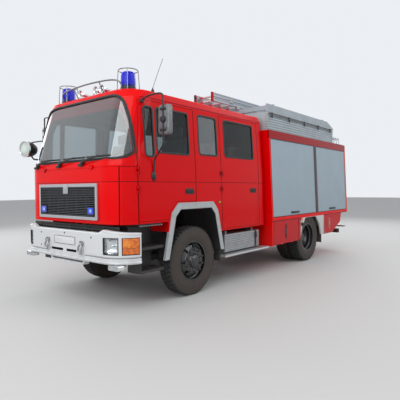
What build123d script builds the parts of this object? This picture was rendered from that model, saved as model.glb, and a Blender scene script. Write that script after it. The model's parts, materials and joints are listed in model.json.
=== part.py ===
from build123d import *
import os

# A two-axle fire engine with a four-door crew cab and a box body with roller shutters.
# Millimetres, +Z up. X points to the vehicle's left, Y runs rearward from the bumper's front face.
# At export every piece moves forward by half the length, so the origin lies under the middle.

# Overall layout
overall_length = 7350
fit_gap = 0.3
slip_gap = 0.05
panel_gap = 5

# Wheels and axles
tyre_radius = 507
tyre_width = 254
tread_width = 206
rim_seat_radius = 284
rim_flange_radius = 298.5
rim_width = 212
rim_wall = 9
hub_radius = 118
front_axle_station = 1450
wheelbase = 3700
rear_axle_station = front_axle_station + wheelbase
front_wheel_x = 963
rear_outer_wheel_x = 1063
twin_spacing = 288
rear_inner_wheel_x = rear_outer_wheel_x - twin_spacing
drum_radius = 205
kingpin_x = 790
kingpin_radius = 22
axle_eye_radius = 48
axle_eye_height = 100
knuckle_lug = 42
spindle_radius = 34
steer_arm = 200
tie_rod_radius = 18

# Chassis frame
rail_half_spacing = 395
rail_height = 230
rail_flange = 70
rail_wall = 8
rail_top = 930
rail_front = 330
rail_rear = 7180
spring_width = 72
leaf_thickness = 15

# Cab: plan sections from the sill to the roof
cab_sections = [
    # height, front station, half width, corner radius
    (900, 62, 1142, 360),
    (1870, 48, 1118, 360),
    (2760, 300, 1062, 340),
    (2860, 335, 1010, 330),
    (2905, 430, 880, 300),
]
cab_rear = 3360
cab_wall = 45
cab_roof_wall = 50
cab_front_bottom = 1125
cab_sill = 900
crew_floor = 1020
front_floor = 1200
seat_riser = 1420
riser_front = 900
riser_rear = 2060
tunnel_half = 440
tunnel_top = 1470
floor_plate = 40

# Cab openings
screen_bottom = 1955
screen_top = 2792
screen_half = 1078
screen_corner = 130
screen_edge_station = 318
rubber_width = 26
glass_thickness = 6
glass_inset = 10
door_top = 2722
front_door_rear = 1462
crew_door_front = 2092
crew_door_rear = 3215
door_bottom = 1150
crew_door_bottom = 925
flap_half = 1000
flap_top = 1848
flap_bottom = 1128

# Front wheel arch, as (station, height) from the front foot over the top to the rear foot
arch_inner = [(862, 610), (1002, 1185), (1100, 1282), (1800, 1282), (1892, 1185), (2034, 610)]
arch_outer = [(776, 610), (928, 1240), (1062, 1372), (1842, 1372), (1962, 1240), (2118, 610)]
arch_depth = 220
arch_trim_x = 1150

# Hinges: barrels in line round a pin
barrel_radius = 11
hinge_pin = 6
hinge_length = 84
front_door_hinge = (1134, 344)
crew_door_hinge = (1141, 2094)
door_hinge_heights = (1560, 1800)
flap_hinge_station = 36
flap_hinge_spots = (-560, 560)
locker_barrel = 8

# Bumper
bumper_half = 1205
bumper_corner = 380
bumper_end = 312
bumper_bottom = 640
bumper_top = 1018
shoulder_top = 1080
shoulder_x = 805
bumper_wall = 60
lamp_bottom = 785
lamp_top = 972

# Equipment body
body_front = 3476
body_rear = 7330
body_half = 1250
body_lean = 66
body_bottom = 950
body_top = 2640
body_wall = 42
shutter_bottom = 1034
shutter_top = 2478
locker_bottom = 500
locker_inner_x = 690
arch_station_half = 560

# Roof equipment
gallery_rear = 6560
gallery_half = 1168
gallery_rail = 2978
gallery_top = 3120
gallery_wall = 30


def block(x, y, z):
    """Box between the lowest and highest values on each axis."""
    return Pos((x[0] + x[1]) / 2, (y[0] + y[1]) / 2, (z[0] + z[1]) / 2) * Box(
        x[1] - x[0], y[1] - y[0], z[1] - z[0])


def side_prism(points, x, corner=0):
    """Outline of (station, height) points, extruded across the vehicle."""
    face = make_face(Plane.YZ * Polyline(*points, close=True))
    if corner:
        face = fillet(face.vertices(), corner)
    return Pos(x[0], 0, 0) * extrude(face, x[1] - x[0], dir=(1, 0, 0))


def front_prism(points, y, corner=0):
    """Outline of (x, height) points, extruded rearward."""
    face = make_face(Plane.XZ * Polyline(*points, close=True))
    if corner:
        face = fillet(face.vertices(), corner)
    return Pos(0, y[0], 0) * extrude(face, y[1] - y[0], dir=(0, 1, 0))


def rectangle(a, b):
    """Corner points of a rectangle from its two spans."""
    return [(a[0], b[0]), (a[1], b[0]), (a[1], b[1]), (a[0], b[1])]


def tube(start, end, radius, bore=0):
    """Round bar or tube between two points."""
    axis = Vector(*end) - Vector(*start)
    place = Plane(origin=start, z_dir=axis)
    bar = extrude(place * Circle(radius), axis.length)
    if bore:
        bar -= extrude(place * Circle(bore), axis.length)
    return bar


def turned(profile, x, station, height):
    """Outline of (distance along the axle, radius) points turned about an axle line."""
    ring = revolve(make_face(Polyline(*profile, close=True)), Axis.X)
    return Pos(x, station, height) * ring


def both(shape):
    """The piece and its mirror image on the vehicle's other side."""
    return shape + mirror(shape, about=Plane.YZ)


def common(shape, other):
    """The solids that two shapes share, as one shape."""
    shared = (shape & other).solids()
    return shared[0] if len(shared) == 1 else Compound(children=shared)


def right_of(shape):
    """The mirror image on the vehicle's right side."""
    return mirror(shape, about=Plane.YZ)


def save(name, *solids):
    """Write one sub-part, moved so that the origin lies under the middle of the vehicle."""
    placed = [Pos(0, -overall_length / 2, 0) * solid for shape in solids for solid in shape.solids()]
    export_step(placed[0] if len(placed) == 1 else Compound(children=placed), f"parts/{name}.step")


def hinge(centre, along, length, radius):
    """Pin with two end barrels for the fixed side, and the bored middle barrel that turns on it."""
    place = Plane(origin=centre, z_dir=along)
    end, play = 0.3 * length, 1
    pin = place * Cylinder(hinge_pin, length)
    middle = place * Cylinder(radius, length - 2 * end - 2 * play) - place * Cylinder(hinge_pin + slip_gap, length)
    ends = [place * Pos(0, 0, side * (length - end) / 2) * Cylinder(radius, end) for side in (-1, 1)]
    return pin + ends[0] + ends[1], middle


def spans(centre, length):
    """The stretches along a hinge that its fixed leaves and its moving leaf take."""
    low, end = centre - length / 2, 0.3 * length
    return [(low, low + end), (low + length - end, low + length)], (low + end + 1, low + length - end - 1)


# Wheels and tyres
def tyre(x):
    half, tread = tyre_width / 2, tread_width / 2
    bead, seat = rim_width / 2 - rim_wall - fit_gap, rim_seat_radius + fit_gap
    flank = tyre_radius - 22
    profile = [(-bead, seat), (-bead, 330), (-half, 400), (-half + 4, 440), (-tread, flank),
               (-tread + 16, tyre_radius), (tread - 16, tyre_radius), (tread, flank),
               (half - 4, 440), (half, 400), (bead, 330), (bead, seat)]
    return lambda station: turned(profile, x, station, tyre_radius)


def rim_barrel():
    """Half outline of the rim's drop centre between its two flanges, open to the inside."""
    half, seat = rim_width / 2, rim_seat_radius
    return [(-half, rim_flange_radius), (-half + rim_wall, rim_flange_radius),
            (-half + rim_wall, seat), (-40, seat), (-28, 262), (28, 262), (40, seat),
            (half - rim_wall, seat), (half - rim_wall, rim_flange_radius), (half, rim_flange_radius),
            (half, seat - rim_wall), (46, seat - rim_wall), (32, 262 - rim_wall),
            (-32, 262 - rim_wall), (-46, seat - rim_wall), (-half, seat - rim_wall)]


def hand_holes(x, station, radius, count):
    holes = [Pos(x, station, tyre_radius) * Rot(X=360 * i / count) * Pos(0, 0, radius)
             * Rot(Y=90) * Cylinder(26, 160) for i in range(count)]
    return Compound(children=holes)


def front_wheel():
    """Disc wheel with its hub and brake drum, turning on the knuckle's spindle."""
    x, y = front_wheel_x, front_axle_station
    disc = [(30, 254), (44, 254), (78, 236), (112, 196), (122, 190), (122, 40), (110, 40),
            (110, 184), (100, 188), (66, 226)]
    bore = spindle_radius + slip_gap
    hub = [(-60, bore), (-60, 120), (-20, 120), (0, 96), (110, 96), (110, 150), (122, 150),
           (122, 112), (150, 92), (168, 60), (168, 0), (142, 0), (142, bore)]
    drum = [(-92, drum_radius), (60, drum_radius), (76, 180), (110, 160), (110, 90), (96, 90),
            (96, 150), (64, 168), (48, drum_radius - 14), (-92, drum_radius - 14)]
    wheel = turned(rim_barrel(), x, y, tyre_radius) + turned(disc, x, y, tyre_radius)
    wheel -= hand_holes(x + 90, y, 214, 8)
    return wheel + turned(hub, x, y, tyre_radius) + turned(drum, x, y, tyre_radius)


def rear_wheel():
    """Twin disc wheels bolted face to face, with their hub and brake drum."""
    y = rear_axle_station
    middle = (rear_outer_wheel_x + rear_inner_wheel_x) / 2
    reach = twin_spacing / 2
    disc = [(reach - 44, 254), (reach - 30, 254), (46, 222), (12, 186), (12, 90), (0, 90), (0, 190),
            (34, 230)]
    inner = [(-a, r) for a, r in disc]
    bore = spindle_radius + 12 + slip_gap
    hub = [(-100, bore), (-100, 130), (12, 130), (60, 122), (120, 108), (140, 70), (140, 0),
           (120, 0), (120, bore)]
    drum = [(-200, drum_radius), (-60, drum_radius), (-60, 100), (-74, 100), (-74, drum_radius - 14),
            (-200, drum_radius - 14)]
    pair = turned(disc, middle, y, tyre_radius) - hand_holes(middle + 40, y, 212, 8)
    pair += turned(inner, middle, y, tyre_radius) - hand_holes(middle - 40, y, 212, 8)
    for x in (rear_outer_wheel_x, rear_inner_wheel_x):
        pair += turned(rim_barrel(), x, y, tyre_radius)
    return pair + turned(hub, middle, y, tyre_radius) + turned(drum, middle, y, tyre_radius)


# Steering knuckles, track rod and axles
def knuckle():
    """Yoke round the axle's eye with its kingpin, spindle and steering arm."""
    y, z = front_axle_station, tyre_radius
    eye = axle_eye_height / 2
    throat = kingpin_x + axle_eye_radius + panel_gap
    web_z = eye + slip_gap + knuckle_lug
    web = block((throat, throat + 34), (y - 60, y + 60), (z - web_z, z + web_z))
    lugs = []
    for side in (1, -1):
        near, far = sorted((z + side * (eye + slip_gap), z + side * web_z))
        lug = Pos(kingpin_x, y, (near + far) / 2) * Cylinder(52, far - near)
        lugs.append(lug + block((kingpin_x, throat + 1), (y - 52, y + 52), (near, far)))
    pin = Pos(kingpin_x, y, z) * Cylinder(kingpin_radius, 2 * web_z)
    spindle = tube((throat, y, z), (front_wheel_x + 138, y, z), spindle_radius)
    collar = tube((throat + 30, y, z), (front_wheel_x - 62, y, z), 62)
    low = z - web_z
    arm = block((kingpin_x - 26, kingpin_x + 26), (y, y + steer_arm), (low, low + knuckle_lug))
    arm += Pos(kingpin_x, y + steer_arm, low + knuckle_lug / 2) * Cylinder(32, knuckle_lug)
    ball = Pos(kingpin_x, y + steer_arm, low - 24) * Cylinder(12, 50)
    return web + lugs[0] + lugs[1] + pin + spindle + collar + arm + ball


def tie_rod():
    """Track rod behind the axle, with an eye round each steering arm's pin."""
    y = front_axle_station + steer_arm
    low = tyre_radius - axle_eye_height / 2 - slip_gap - knuckle_lug
    z = low - 25
    rod = tube((-kingpin_x + 20, y, z), (kingpin_x - 20, y, z), tie_rod_radius)
    eyes = both(Pos(kingpin_x, y, z) * Cylinder(28, 38))
    bores = Pos(kingpin_x, y, z) * Cylinder(12 + slip_gap, 60)
    bores += Pos(-kingpin_x, y, z) * Cylinder(17, 60)
    return rod + eyes - bores


def front_axle():
    """Forged beam, dropped in the middle to clear the engine, with an eye at each end."""
    y, z = front_axle_station, tyre_radius
    half = axle_eye_height / 2
    upper = [(0, 330), (560, 330), (700, z - half + 6), (kingpin_x, z - half + 6),
             (kingpin_x, z + half - 6), (690, z + half - 6), (520, 430), (0, 430)]
    beam = front_prism(upper + [(-a, b) for a, b in reversed(upper[1:-1])], (y - 36, y + 36))
    beam -= both(block((60, 330), (y - 37, y - 14), (350, 410)))
    beam -= both(block((60, 330), (y + 14, y + 37), (350, 410)))
    beam += both(Pos(kingpin_x, y, z) * Cylinder(axle_eye_radius, axle_eye_height))
    pads = both(block((rail_half_spacing - 80, rail_half_spacing + 8), (y - 70, y + 70), (429, 470)))
    return beam + pads - both(Pos(kingpin_x, y, z) * Cylinder(kingpin_radius + slip_gap, 200))


def rear_axle():
    """Drive axle: banjo housing, half-shaft tubes, nose and the propeller shaft to the gearbox."""
    y, z = rear_axle_station, tyre_radius
    middle = (rear_outer_wheel_x + rear_inner_wheel_x) / 2
    tube_end = middle - 210
    housing = tube((-tube_end, y, z), (tube_end, y, z), 62)
    housing += tube((-150, y, z), (150, y, z), 205)
    housing += tube((0, y - 380, z + 20), (0, y, z), 105)
    spindles = both(tube((tube_end - 10, y, z), (middle + 118, y, z), spindle_radius + 12))
    pads = both(block((rail_half_spacing - 80, rail_half_spacing + 8), (y - 80, y + 80),
                      (z + 30, z + 70)))
    shaft = tube((0, 2306, 660), (0, y - 370, z + 20), 48)
    joint = tube((0, y - 470, z + 34), (0, y - 370, z + 20), 74)
    yoke = tube((0, 2300, 660), (0, 2350, 660), 66)
    return housing + spindles + pads + shaft + joint + yoke


def leaf_spring(station, seat, reach, leaves):
    """One leaf pack under a rail: the leaves shorten downwards, the top one carries the eyes."""
    x = (rail_half_spacing - spring_width, rail_half_spacing)
    rise = 50
    pack = None
    for i in range(leaves):
        half = reach * (1 - 0.68 * i / leaves)
        lift = rise * (half / reach) ** 2
        z = seat + (leaves - 1 - i) * leaf_thickness
        points = [(station - half, z + lift), (station, z), (station + half, z + lift)]
        upper = [(a, b + leaf_thickness) for a, b in points]
        edge = (ThreePointArc(*points) + Line(points[2], upper[2]) + ThreePointArc(*upper)
                + Line(upper[0], points[0]))
        leaf = Pos(x[0], 0, 0) * extrude(make_face(Plane.YZ * edge), spring_width, dir=(1, 0, 0))
        pack = leaf if pack is None else pack + leaf
    top = seat + leaves * leaf_thickness
    clip = block((x[0] - 8, x[1] + 8), (station - 70, station + 70), (seat - 2, top + 18))
    hangers = []
    for side in (-1, 1):
        end = station + side * reach
        hangers.append(block((x[0] + 4, x[1] - 4), (end - 45, end + 45),
                             (top - leaf_thickness + rise - 34, rail_top - rail_height)))
    return pack + clip + hangers[0] + hangers[1]


def leaf_springs():
    front = leaf_spring(front_axle_station, 470, 640, 6)
    rear = leaf_spring(rear_axle_station, tyre_radius + 70, 660, 4)
    return both(front), both(rear)


def chassis_frame():
    """Two channel rails with cross members, a front bracket and the rear underrun bar."""
    inner = rail_half_spacing - rail_flange
    z0, z1 = rail_top - rail_height, rail_top
    rail = block((inner, rail_half_spacing), (rail_front, rail_rear), (z0, z1))
    rail -= block((inner - 1, rail_half_spacing - rail_wall), (rail_front - 1, rail_rear + 1),
                  (z0 + rail_wall, z1 - rail_wall))
    frame = both(rail)
    web = rail_half_spacing - rail_wall
    for station in (2440, 3300, 4300, 5900, rail_rear - 60):
        frame += block((-web - 1, web + 1), (station - 30, station + 30), (z0 + 20, z1 - 20))
    frame += block((-web - 1, web + 1), (rail_front, rail_front + 80), (z0 + 20, z1 - 20))
    reach = rail_rear - 120
    frame += both(block((300, 380), (reach, reach + 60), (480, z0 + 5)))
    frame += block((-1120, 1120), (reach - 10, reach + 70), (430, 530))
    frame += both(block((rail_half_spacing - 1, 470), (480, 560), (z1 - 50, cab_front_bottom)))
    frame += both(block((inner, rail_half_spacing), (3200, 3280), (z1 - 1, rail_top + 25)))
    frame += both(block((inner, rail_half_spacing), (body_front + 40, rail_rear), (z1 - 1, body_bottom)))
    return frame + tanks()


def engine():
    """Closed heavy mass: the engine under the cab and the gearbox behind it."""
    motor = block((-310, 310), (560, 1760), (530, 1400))
    gearbox = block((-210, 210), (1760, 2300), (560, 900))
    web = rail_half_spacing - rail_wall
    feet = both(block((300, web), (760, 840), (770, 860)) + block((200, web), (2100, 2160), (770, 860)))
    return motor + gearbox + feet


def tanks():
    """Fuel tank on the right, silencer on the left, and air tanks behind the front lockers."""
    near = rail_half_spacing
    z = rail_top - rail_height / 2
    fuel = side_prism(rectangle((2250, 3180), (500, 815)), (-730, -near), 40)
    silencer = tube((580, 2300, 670), (580, 3150, 670), 140)
    silencer += block((near - 1, 530), (2500, 2550), (z - 45, z + 45))
    air = both(tube((560, 3560, 570), (560, 4480, 570), 105)
               + block((near - 1, 480), (3700, 3740), (600, z)) + block((near - 1, 480), (4300, 4340), (600, z)))
    return fuel + silencer + air


# Cab
def plan_face(height, front, half, corner, rear):
    points = [(-half, rear), (-half, front), (half, front), (half, rear)]
    face = Pos(0, 0, height) * make_face(Polyline(*points, close=True))
    ends = face.vertices().group_by(Axis.Y)[0]
    return fillet(ends, corner)


def cab_loft(inset, top_inset, rear):
    """Stack of plan sections, moved inwards by the wall."""
    faces = []
    for height, front, half, corner in cab_sections:
        lowered = height - (top_inset if height > door_top else 0)
        faces.append(plan_face(lowered, front + inset, half - inset, corner - inset, rear))
    return loft(faces, ruled=True)


def cab_outer():
    return cab_loft(0, 0, cab_rear)


def cab_skin(depth, thickness):
    """Thin layer that follows the cab's outside at a depth under its surface."""
    return cab_loft(depth, 0, cab_rear + 50) - cab_loft(depth + thickness, 0, cab_rear + 60)


def cab_hollow():
    """Inside of the cab above its floors, wheel risers and engine tunnel."""
    space = cab_loft(cab_wall, cab_roof_wall, cab_rear - cab_wall)
    far = 1300
    space -= block((-far, far), (0, cab_rear), (800, crew_floor))
    space -= block((-far, far), (-10, riser_rear), (800, front_floor))
    space -= block((-far, far), (riser_front, riser_rear), (800, seat_riser))
    return space - block((-tunnel_half, tunnel_half), (-10, riser_rear), (800, tunnel_top))


def cab_underside():
    """Space under the floors: wheel arches, engine tunnel and the low front edge."""
    far = 1300
    room = block((-far, far), (-50, arch_outer[0][0] + 90), (800, cab_front_bottom))
    room += side_prism(arch_outer, (-far, far))
    room += block((-far, far), (arch_outer[0][0], arch_outer[-1][0]), (500, 700))
    tunnel = block((-tunnel_half + floor_plate, tunnel_half - floor_plate),
                   (130, riser_rear - floor_plate), (800, tunnel_top - floor_plate))
    frame_way = block((-tunnel_half + floor_plate, tunnel_half - floor_plate),
                      (riser_rear - floor_plate - 1, cab_rear + 1), (800, rail_top + 25))
    return room + tunnel + frame_way


def front_door_outline(gap=0):
    """Front door's edge: straight sill, cut over the wheel arch, raked front pillar."""
    rise, top = arch_outer[1], arch_outer[2]
    return [(342 + gap, door_bottom + gap), (rise[0] - 40 - gap, door_bottom + gap),
            (rise[0] - 14 - gap, rise[1] + 6 + gap), (top[0] - 6 - gap, top[1] + 14 + gap),
            (front_door_rear - gap, top[1] + 14 + gap), (front_door_rear - gap, door_top - gap),
            (436 + gap, door_top - gap), (342 + gap, 1880)]


def crew_door_outline(gap=0):
    """Crew door's edge, with its lower front corner cut along the wheel arch."""
    foot, rise = arch_outer[-1], arch_outer[-2]
    slope = (foot[0] - rise[0]) / (rise[1] - foot[1])
    front_low = rise[0] + (rise[1] - crew_door_bottom) * slope + 24
    front = max(crew_door_front, front_low)
    return [(front + gap, crew_door_bottom + gap), (crew_door_rear - gap, crew_door_bottom + gap),
            (crew_door_rear - gap, door_top - gap), (crew_door_front + gap, door_top - gap)]


# Side windows, as (front station, rear station, bottom, top)
windows = {
    "front_door": [(1, 690, 1350, 2045, 2650)],
    "quarter": [(1, 478, 650, 1985, 2640)],
    "middle": [(1, 1560, 2020, 2068, 2665)],
    "crew_door": [(1, 2200, 3072, 2068, 2665)],
}
window_corner = 55


def window_cut(name, inset=0):
    cuts = None
    for _, front, rear, low, high in windows[name]:
        shape = side_prism(rectangle((front + inset, rear - inset), (low + inset, high - inset)),
                           (900, 1200), window_corner - inset)
        cuts = shape if cuts is None else cuts + shape
    return cuts


def screen_cut(inset=0):
    half, corner = screen_half - inset, screen_corner - inset
    outline = rectangle((-half, half), (screen_bottom + inset, screen_top - inset))
    return front_prism(outline, (-100, screen_edge_station - inset), corner)


def rear_window_cut(inset=0):
    return front_prism(rectangle((-700 + inset, 700 - inset), (2080 + inset, 2480 - inset)),
                       (cab_rear - 120, cab_rear + 80), 60 - inset)


def flap_cut(gap=0):
    return front_prism(rectangle((-flap_half + gap, flap_half - gap), (flap_bottom + gap, flap_top - gap)),
                       (-100, 300))


def grille_cut(inset=0):
    return front_prism(rectangle((-664 + inset, 664 - inset), (1203 + inset, 1617 - inset)), (-100, 300))


def cab_parts():
    outer = cab_outer()
    walls = outer - cab_hollow() - cab_underside()
    skin = outer - cab_loft(cab_wall, 0, cab_rear + 1)
    within = cab_loft(cab_wall + panel_gap, 0, cab_rear + 1)
    shell = walls - (flap_cut() - within) - screen_cut() - both(window_cut("middle")) - rear_window_cut()
    for outline in (front_door_outline(), crew_door_outline()):
        shell = shell - both(side_prism(outline, (900, 1300)) - within)
    front_panel = common(skin, flap_cut(panel_gap / 2))
    front_door = common(skin, side_prism(front_door_outline(panel_gap), (900, 1300)))
    crew_door = common(skin, side_prism(crew_door_outline(panel_gap), (900, 1300)))
    front_door = front_door - window_cut("front_door") - window_cut("quarter")
    crew_door = crew_door - window_cut("crew_door")
    for (x, y), door in ((front_door_hinge, 0), (crew_door_hinge, 1)):
        for height in door_hinge_heights:
            fixed, turning = hinge((x, y, height), (0, 0, 1), hinge_length, barrel_radius)
            leaves, leaf = spans(height, hinge_length)
            for z in leaves:
                fixed += block((x - 30, x + 2), (y - 30, y - 3), z)
            shell += both(fixed)
            turning += block((x - 30, x + 2), (y + hinge_pin + 1, y + 30), leaf)
            if door:
                crew_door += turning
            else:
                front_door += turning
    for x in flap_hinge_spots:
        fixed, turning = hinge((x, flap_hinge_station, flap_top), (1, 0, 0), hinge_length, barrel_radius)
        leaves, leaf = spans(x, hinge_length)
        for span in leaves:
            fixed += block(span, (flap_hinge_station - 3, 75), (flap_top + 2, flap_top + 30))
        shell += fixed
        front_panel += turning + block(leaf, (flap_hinge_station - 3, 75), (flap_top - 30, flap_top - hinge_pin - 1))
    pane = cab_skin(glass_inset, glass_thickness)
    rear_pane = block((-1000, 1000), (cab_rear - 30, cab_rear - 24), (1900, 2600)) & rear_window_cut(fit_gap)
    glass = [pane & screen_cut(fit_gap), both(pane & window_cut("middle", fit_gap)), rear_pane]
    front_glass = (pane & window_cut("quarter", fit_gap)) + (pane & window_cut("front_door", fit_gap))
    crew_glass = pane & window_cut("crew_door", fit_gap)
    return shell, front_panel - grille_cut(), front_door, crew_door, glass, front_glass, crew_glass


def grille():
    """Bright frame round thin level slats, tied together by upright ribs behind them."""
    y = cab_sections[1][1] - fit_gap
    lip = 14
    frame = front_prism(rectangle((-692, 692), (1175, 1645)), (y - 18, y), 8)
    frame += front_prism(rectangle((-664 + fit_gap, 664 - fit_gap), (1203 + fit_gap, 1617 - fit_gap)), (y - 1, y + 45))
    frame -= front_prism(rectangle((-664 + lip, 664 - lip), (1203 + lip, 1617 - lip)), (y - 40, y + 60))
    low, high = 1203 + lip, 1617 - lip
    for i in range(17):
        z = low + (i + 0.5) * (high - low) / 17
        frame += block((-664 + lip - 1, 664 - lip + 1), (y - 12, y + 4), (z - 5, z + 5))
    for x in (-440, -220, 0, 220, 440):
        frame += block((x - 6, x + 6), (y, y + 16), (low - 1, high + 1))
    return frame


def arch_trims():
    """Bright trim round each front wheel, with the bent lip that closes it inwards."""
    band = side_prism(arch_outer, (arch_trim_x - 40, arch_trim_x)) - side_prism(
        arch_inner, (arch_trim_x - 60, arch_trim_x + 10))
    return both(band)


def seats():
    """Two front seats and the crew bench, each as a cushion and a back."""
    pieces = []
    for x in (620, -620):
        pieces.append(block((x - 180, x + 180), (1000, 1440), (seat_riser + fit_gap, 1560)))
        pieces.append(block((x - 250, x + 250), (930, 1470), (1560 + fit_gap, 1690)))
        back = side_prism([(1400, 1690.3), (1520, 1690.3), (1620, 2330), (1520, 2330)], (x - 240, x + 240), 40)
        pieces.append(back)
        pieces.append(side_prism(rectangle((1535, 1625), (2345, 2520)), (x - 130, x + 130), 35))
    bench = block((-960, 960), (2840, 3240), (crew_floor + fit_gap, 1360))
    pieces.append(bench)
    pieces.append(block((-980, 980), (2760, 3220), (1360 + fit_gap, 1470)))
    pieces.append(block((-980, 980), (3180, 3290), (1471, 2080)))
    return pieces


def dashboard():
    """Fascia across the cab under the windscreen, and the steering column."""
    outline = [(150, tunnel_top), (400, tunnel_top), (470, 1640), (430, 1830), (330, 1915), (150, 1915)]
    fascia = side_prism(outline, (-1010, 1010)) & cab_loft(cab_wall + 6, cab_roof_wall, 2000)
    place = Plane(origin=steering_wheel_pivot, x_dir=(1, 0, 0), z_dir=steering_wheel_axis)
    column = place * Pos(0, 0, -180) * Cylinder(40, 360)
    return fascia + column - place * Pos(0, 0, -60) * Cylinder(column_shaft + slip_gap, 122)


steering_wheel_pivot = (620, 600, 1880)
steering_wheel_axis = (0, 0.57, 0.82)
column_shaft = 12


def steering_wheel():
    """Rim, two spokes and boss, standing square to the column."""
    place = Plane(origin=steering_wheel_pivot, x_dir=(1, 0, 0), z_dir=steering_wheel_axis)
    ring = place * Pos(0, 0, 60) * Torus(215, 15)
    boss = place * Pos(0, 0, 38) * Cylinder(45, 70) + place * Pos(0, 0, -40) * Cylinder(column_shaft, 100)
    spokes = place * Pos(0, 0, 55) * Box(415, 34, 14)
    return ring + boss + spokes


def wipers():
    """Arms and blades parked along the foot of the windscreen."""
    pieces = []
    for x in (-740, -120, 440):
        arm = tube((x, 26, 1915), (x + 380, 36, 1978), 9)
        blade = tube((x + 150, 34, 1985), (x + 560, 34, 1985), 10)
        pivot = tube((x, 100, 1912), (x, 20, 1912), 18) - cab_outer()
        pieces.append(arm + blade + pivot)
    return pieces


# Bumper and lamps
def bumper_plan(inset, z):
    face = plan_face(z[0], inset, bumper_half - inset, bumper_corner - inset, 2 * bumper_corner)
    band = extrude(face, z[1] - z[0], dir=(0, 0, 1))
    far = 2 * bumper_half
    return band - block((-far, far), (bumper_end, far), (z[0] - 1, z[1] + 1))


def bumper():
    """Wrapped pressing with raised shoulders over the lamps and a step in the middle."""
    skin = bumper_plan(0, (bumper_bottom, shoulder_top)) - bumper_plan(
        bumper_wall, (bumper_bottom - 1, shoulder_top + 1))
    skin -= block((-shoulder_x, shoulder_x), (-10, 200), (bumper_top, shoulder_top + 10))
    skin -= both(front_prism(rectangle((835, 1050), (lamp_bottom, lamp_top)), (-50, 330)))
    skin -= both(front_prism(rectangle((1080, 1160), (lamp_bottom, lamp_top)), (-50, 262)))
    skin -= front_prism(rectangle((-300, 300), (660, 735)), (-50, 200))
    step = block((-374, 374), (40, 130), (576, bumper_bottom)) - block((-330, 330), (30, 140), (600, bumper_bottom))
    arms = both(block((330, 388), (bumper_wall - 1, rail_front), (720, 900)))
    return skin + step + arms


def lamps():
    """Headlamps, side indicators and fog lamps at the front, lamp clusters at the rear."""
    shell = bumper_plan(12, (lamp_bottom, lamp_top)) - bumper_plan(bumper_wall, (lamp_bottom - 1, lamp_top + 1))
    head = shell & front_prism(rectangle((835 + fit_gap, 1050 - fit_gap), (lamp_bottom + fit_gap, lamp_top - fit_gap)),
                               (-50, 330))
    side = shell & front_prism(rectangle((1080 + fit_gap, 1160 - fit_gap),
                                         (lamp_bottom + fit_gap, lamp_top - fit_gap)), (-50, 262 - fit_gap))
    fog = block((905, 1105), (30, 130), (572, bumper_bottom - fit_gap))
    rear = block((940, 1180), (body_rear + fit_gap, overall_length - 2), (960, 1022))
    return both(head), both(side), both(fog), both(rear)


def entry_steps():
    """Stepped well under each front door, closed at its back."""
    x = (880, 1132)
    y = (bumper_end + 45, arch_outer[0][0] - 11)
    well = block((x[0], x[0] + 12), y, (490, cab_front_bottom))
    for z in (490, 790, 1085):
        well += block((x[0], x[1] - (40 if z > 1000 else 0)), y, (z, z + 36))
    well += block(x, (y[0], y[0] + 12), (490, 826))
    return both(well)


def mudguards():
    """Inner wheel houses and the flaps behind the wheels."""
    pieces = []
    inside = [(a + (8 if a < front_axle_station else -8), b - 8) for a, b in arch_inner]
    liner = side_prism(arch_inner, (arch_trim_x - arch_depth, arch_trim_x - 4)) - side_prism(
        inside, (arch_trim_x - arch_depth - 1, arch_trim_x))
    pieces.append(both(liner))
    pieces.append(both(block((arch_trim_x - arch_depth + 60, arch_trim_x - 40), (2050, 2060), (420, 700))))
    rear_flap = rear_axle_station + arch_station_half + 50
    pieces.append(both(block((655, body_half - 30), (rear_flap, rear_flap + 10), (330, 700))))
    return pieces


def side_boxes():
    """Ribbed battery and tool boxes under the crew doors, with the tread plate step."""
    y = (2200, 3250)
    x = (760, 1095)
    box = block(x, y, (535, 822)) - block((x[0] + 20, x[1] - 20), (y[0] + 20, y[1] - 20), (555, 830))
    box += block(x, y, (806, 822))
    for i in range(7):
        z = 560 + i * 38
        box += block((x[1] - 1, x[1] + 7), y, (z, z + 16))
    step = block((900, 1200), (2080, 3425), (478, 508))
    for station in (2300, 3100):
        step += block((900, 940), (station, station + 40), (500, 536))
        box += block((rail_half_spacing, x[1] - 60), (station, station + 40), (821, 862))
    return both(box + step)


# Equipment body
def body_side(z):
    """Half width of the body at a height: upright to the sills, then leaning in."""
    base = shutter_bottom
    return body_half - body_lean * max(0, z - base) / (body_top - base)


def body_outline(inset=0):
    low, high = body_bottom + inset, body_top - inset
    return [(-body_half + inset, low), (body_half - inset, low), (body_half - inset, shutter_bottom),
            (body_side(high) - inset, high), (-body_side(high) + inset, high), (-body_half + inset, shutter_bottom)]


shutters_at = [
    # front station, rear station
    (3528, 5430),
    (5545, 7260),
]


def body_shell():
    """Box body on its floor, with shutter openings, low lockers and wheel arches."""
    shell = front_prism(body_outline(), (body_front, body_rear))
    shell -= front_prism(body_outline(body_wall), (body_front + body_wall, body_rear - body_wall))
    for y in shutters_at:
        shell -= both(block((900, 1400), y, (shutter_bottom, shutter_top)))
    shell -= block((-800, 800), (body_rear - 100, body_rear + 50), (shutter_bottom, shutter_top))
    house_y = (rear_axle_station - 640, rear_axle_station + 640)
    house = block((610, body_half - body_wall + 1), house_y, (body_bottom, 1100))
    hollow = block((622, body_half - body_wall - 11), (house_y[0] + 12, house_y[1] - 12), (body_bottom - 1, 1088))
    shell = shell + both(house) - both(hollow)
    shell += both(lower_body())
    return shell


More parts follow.
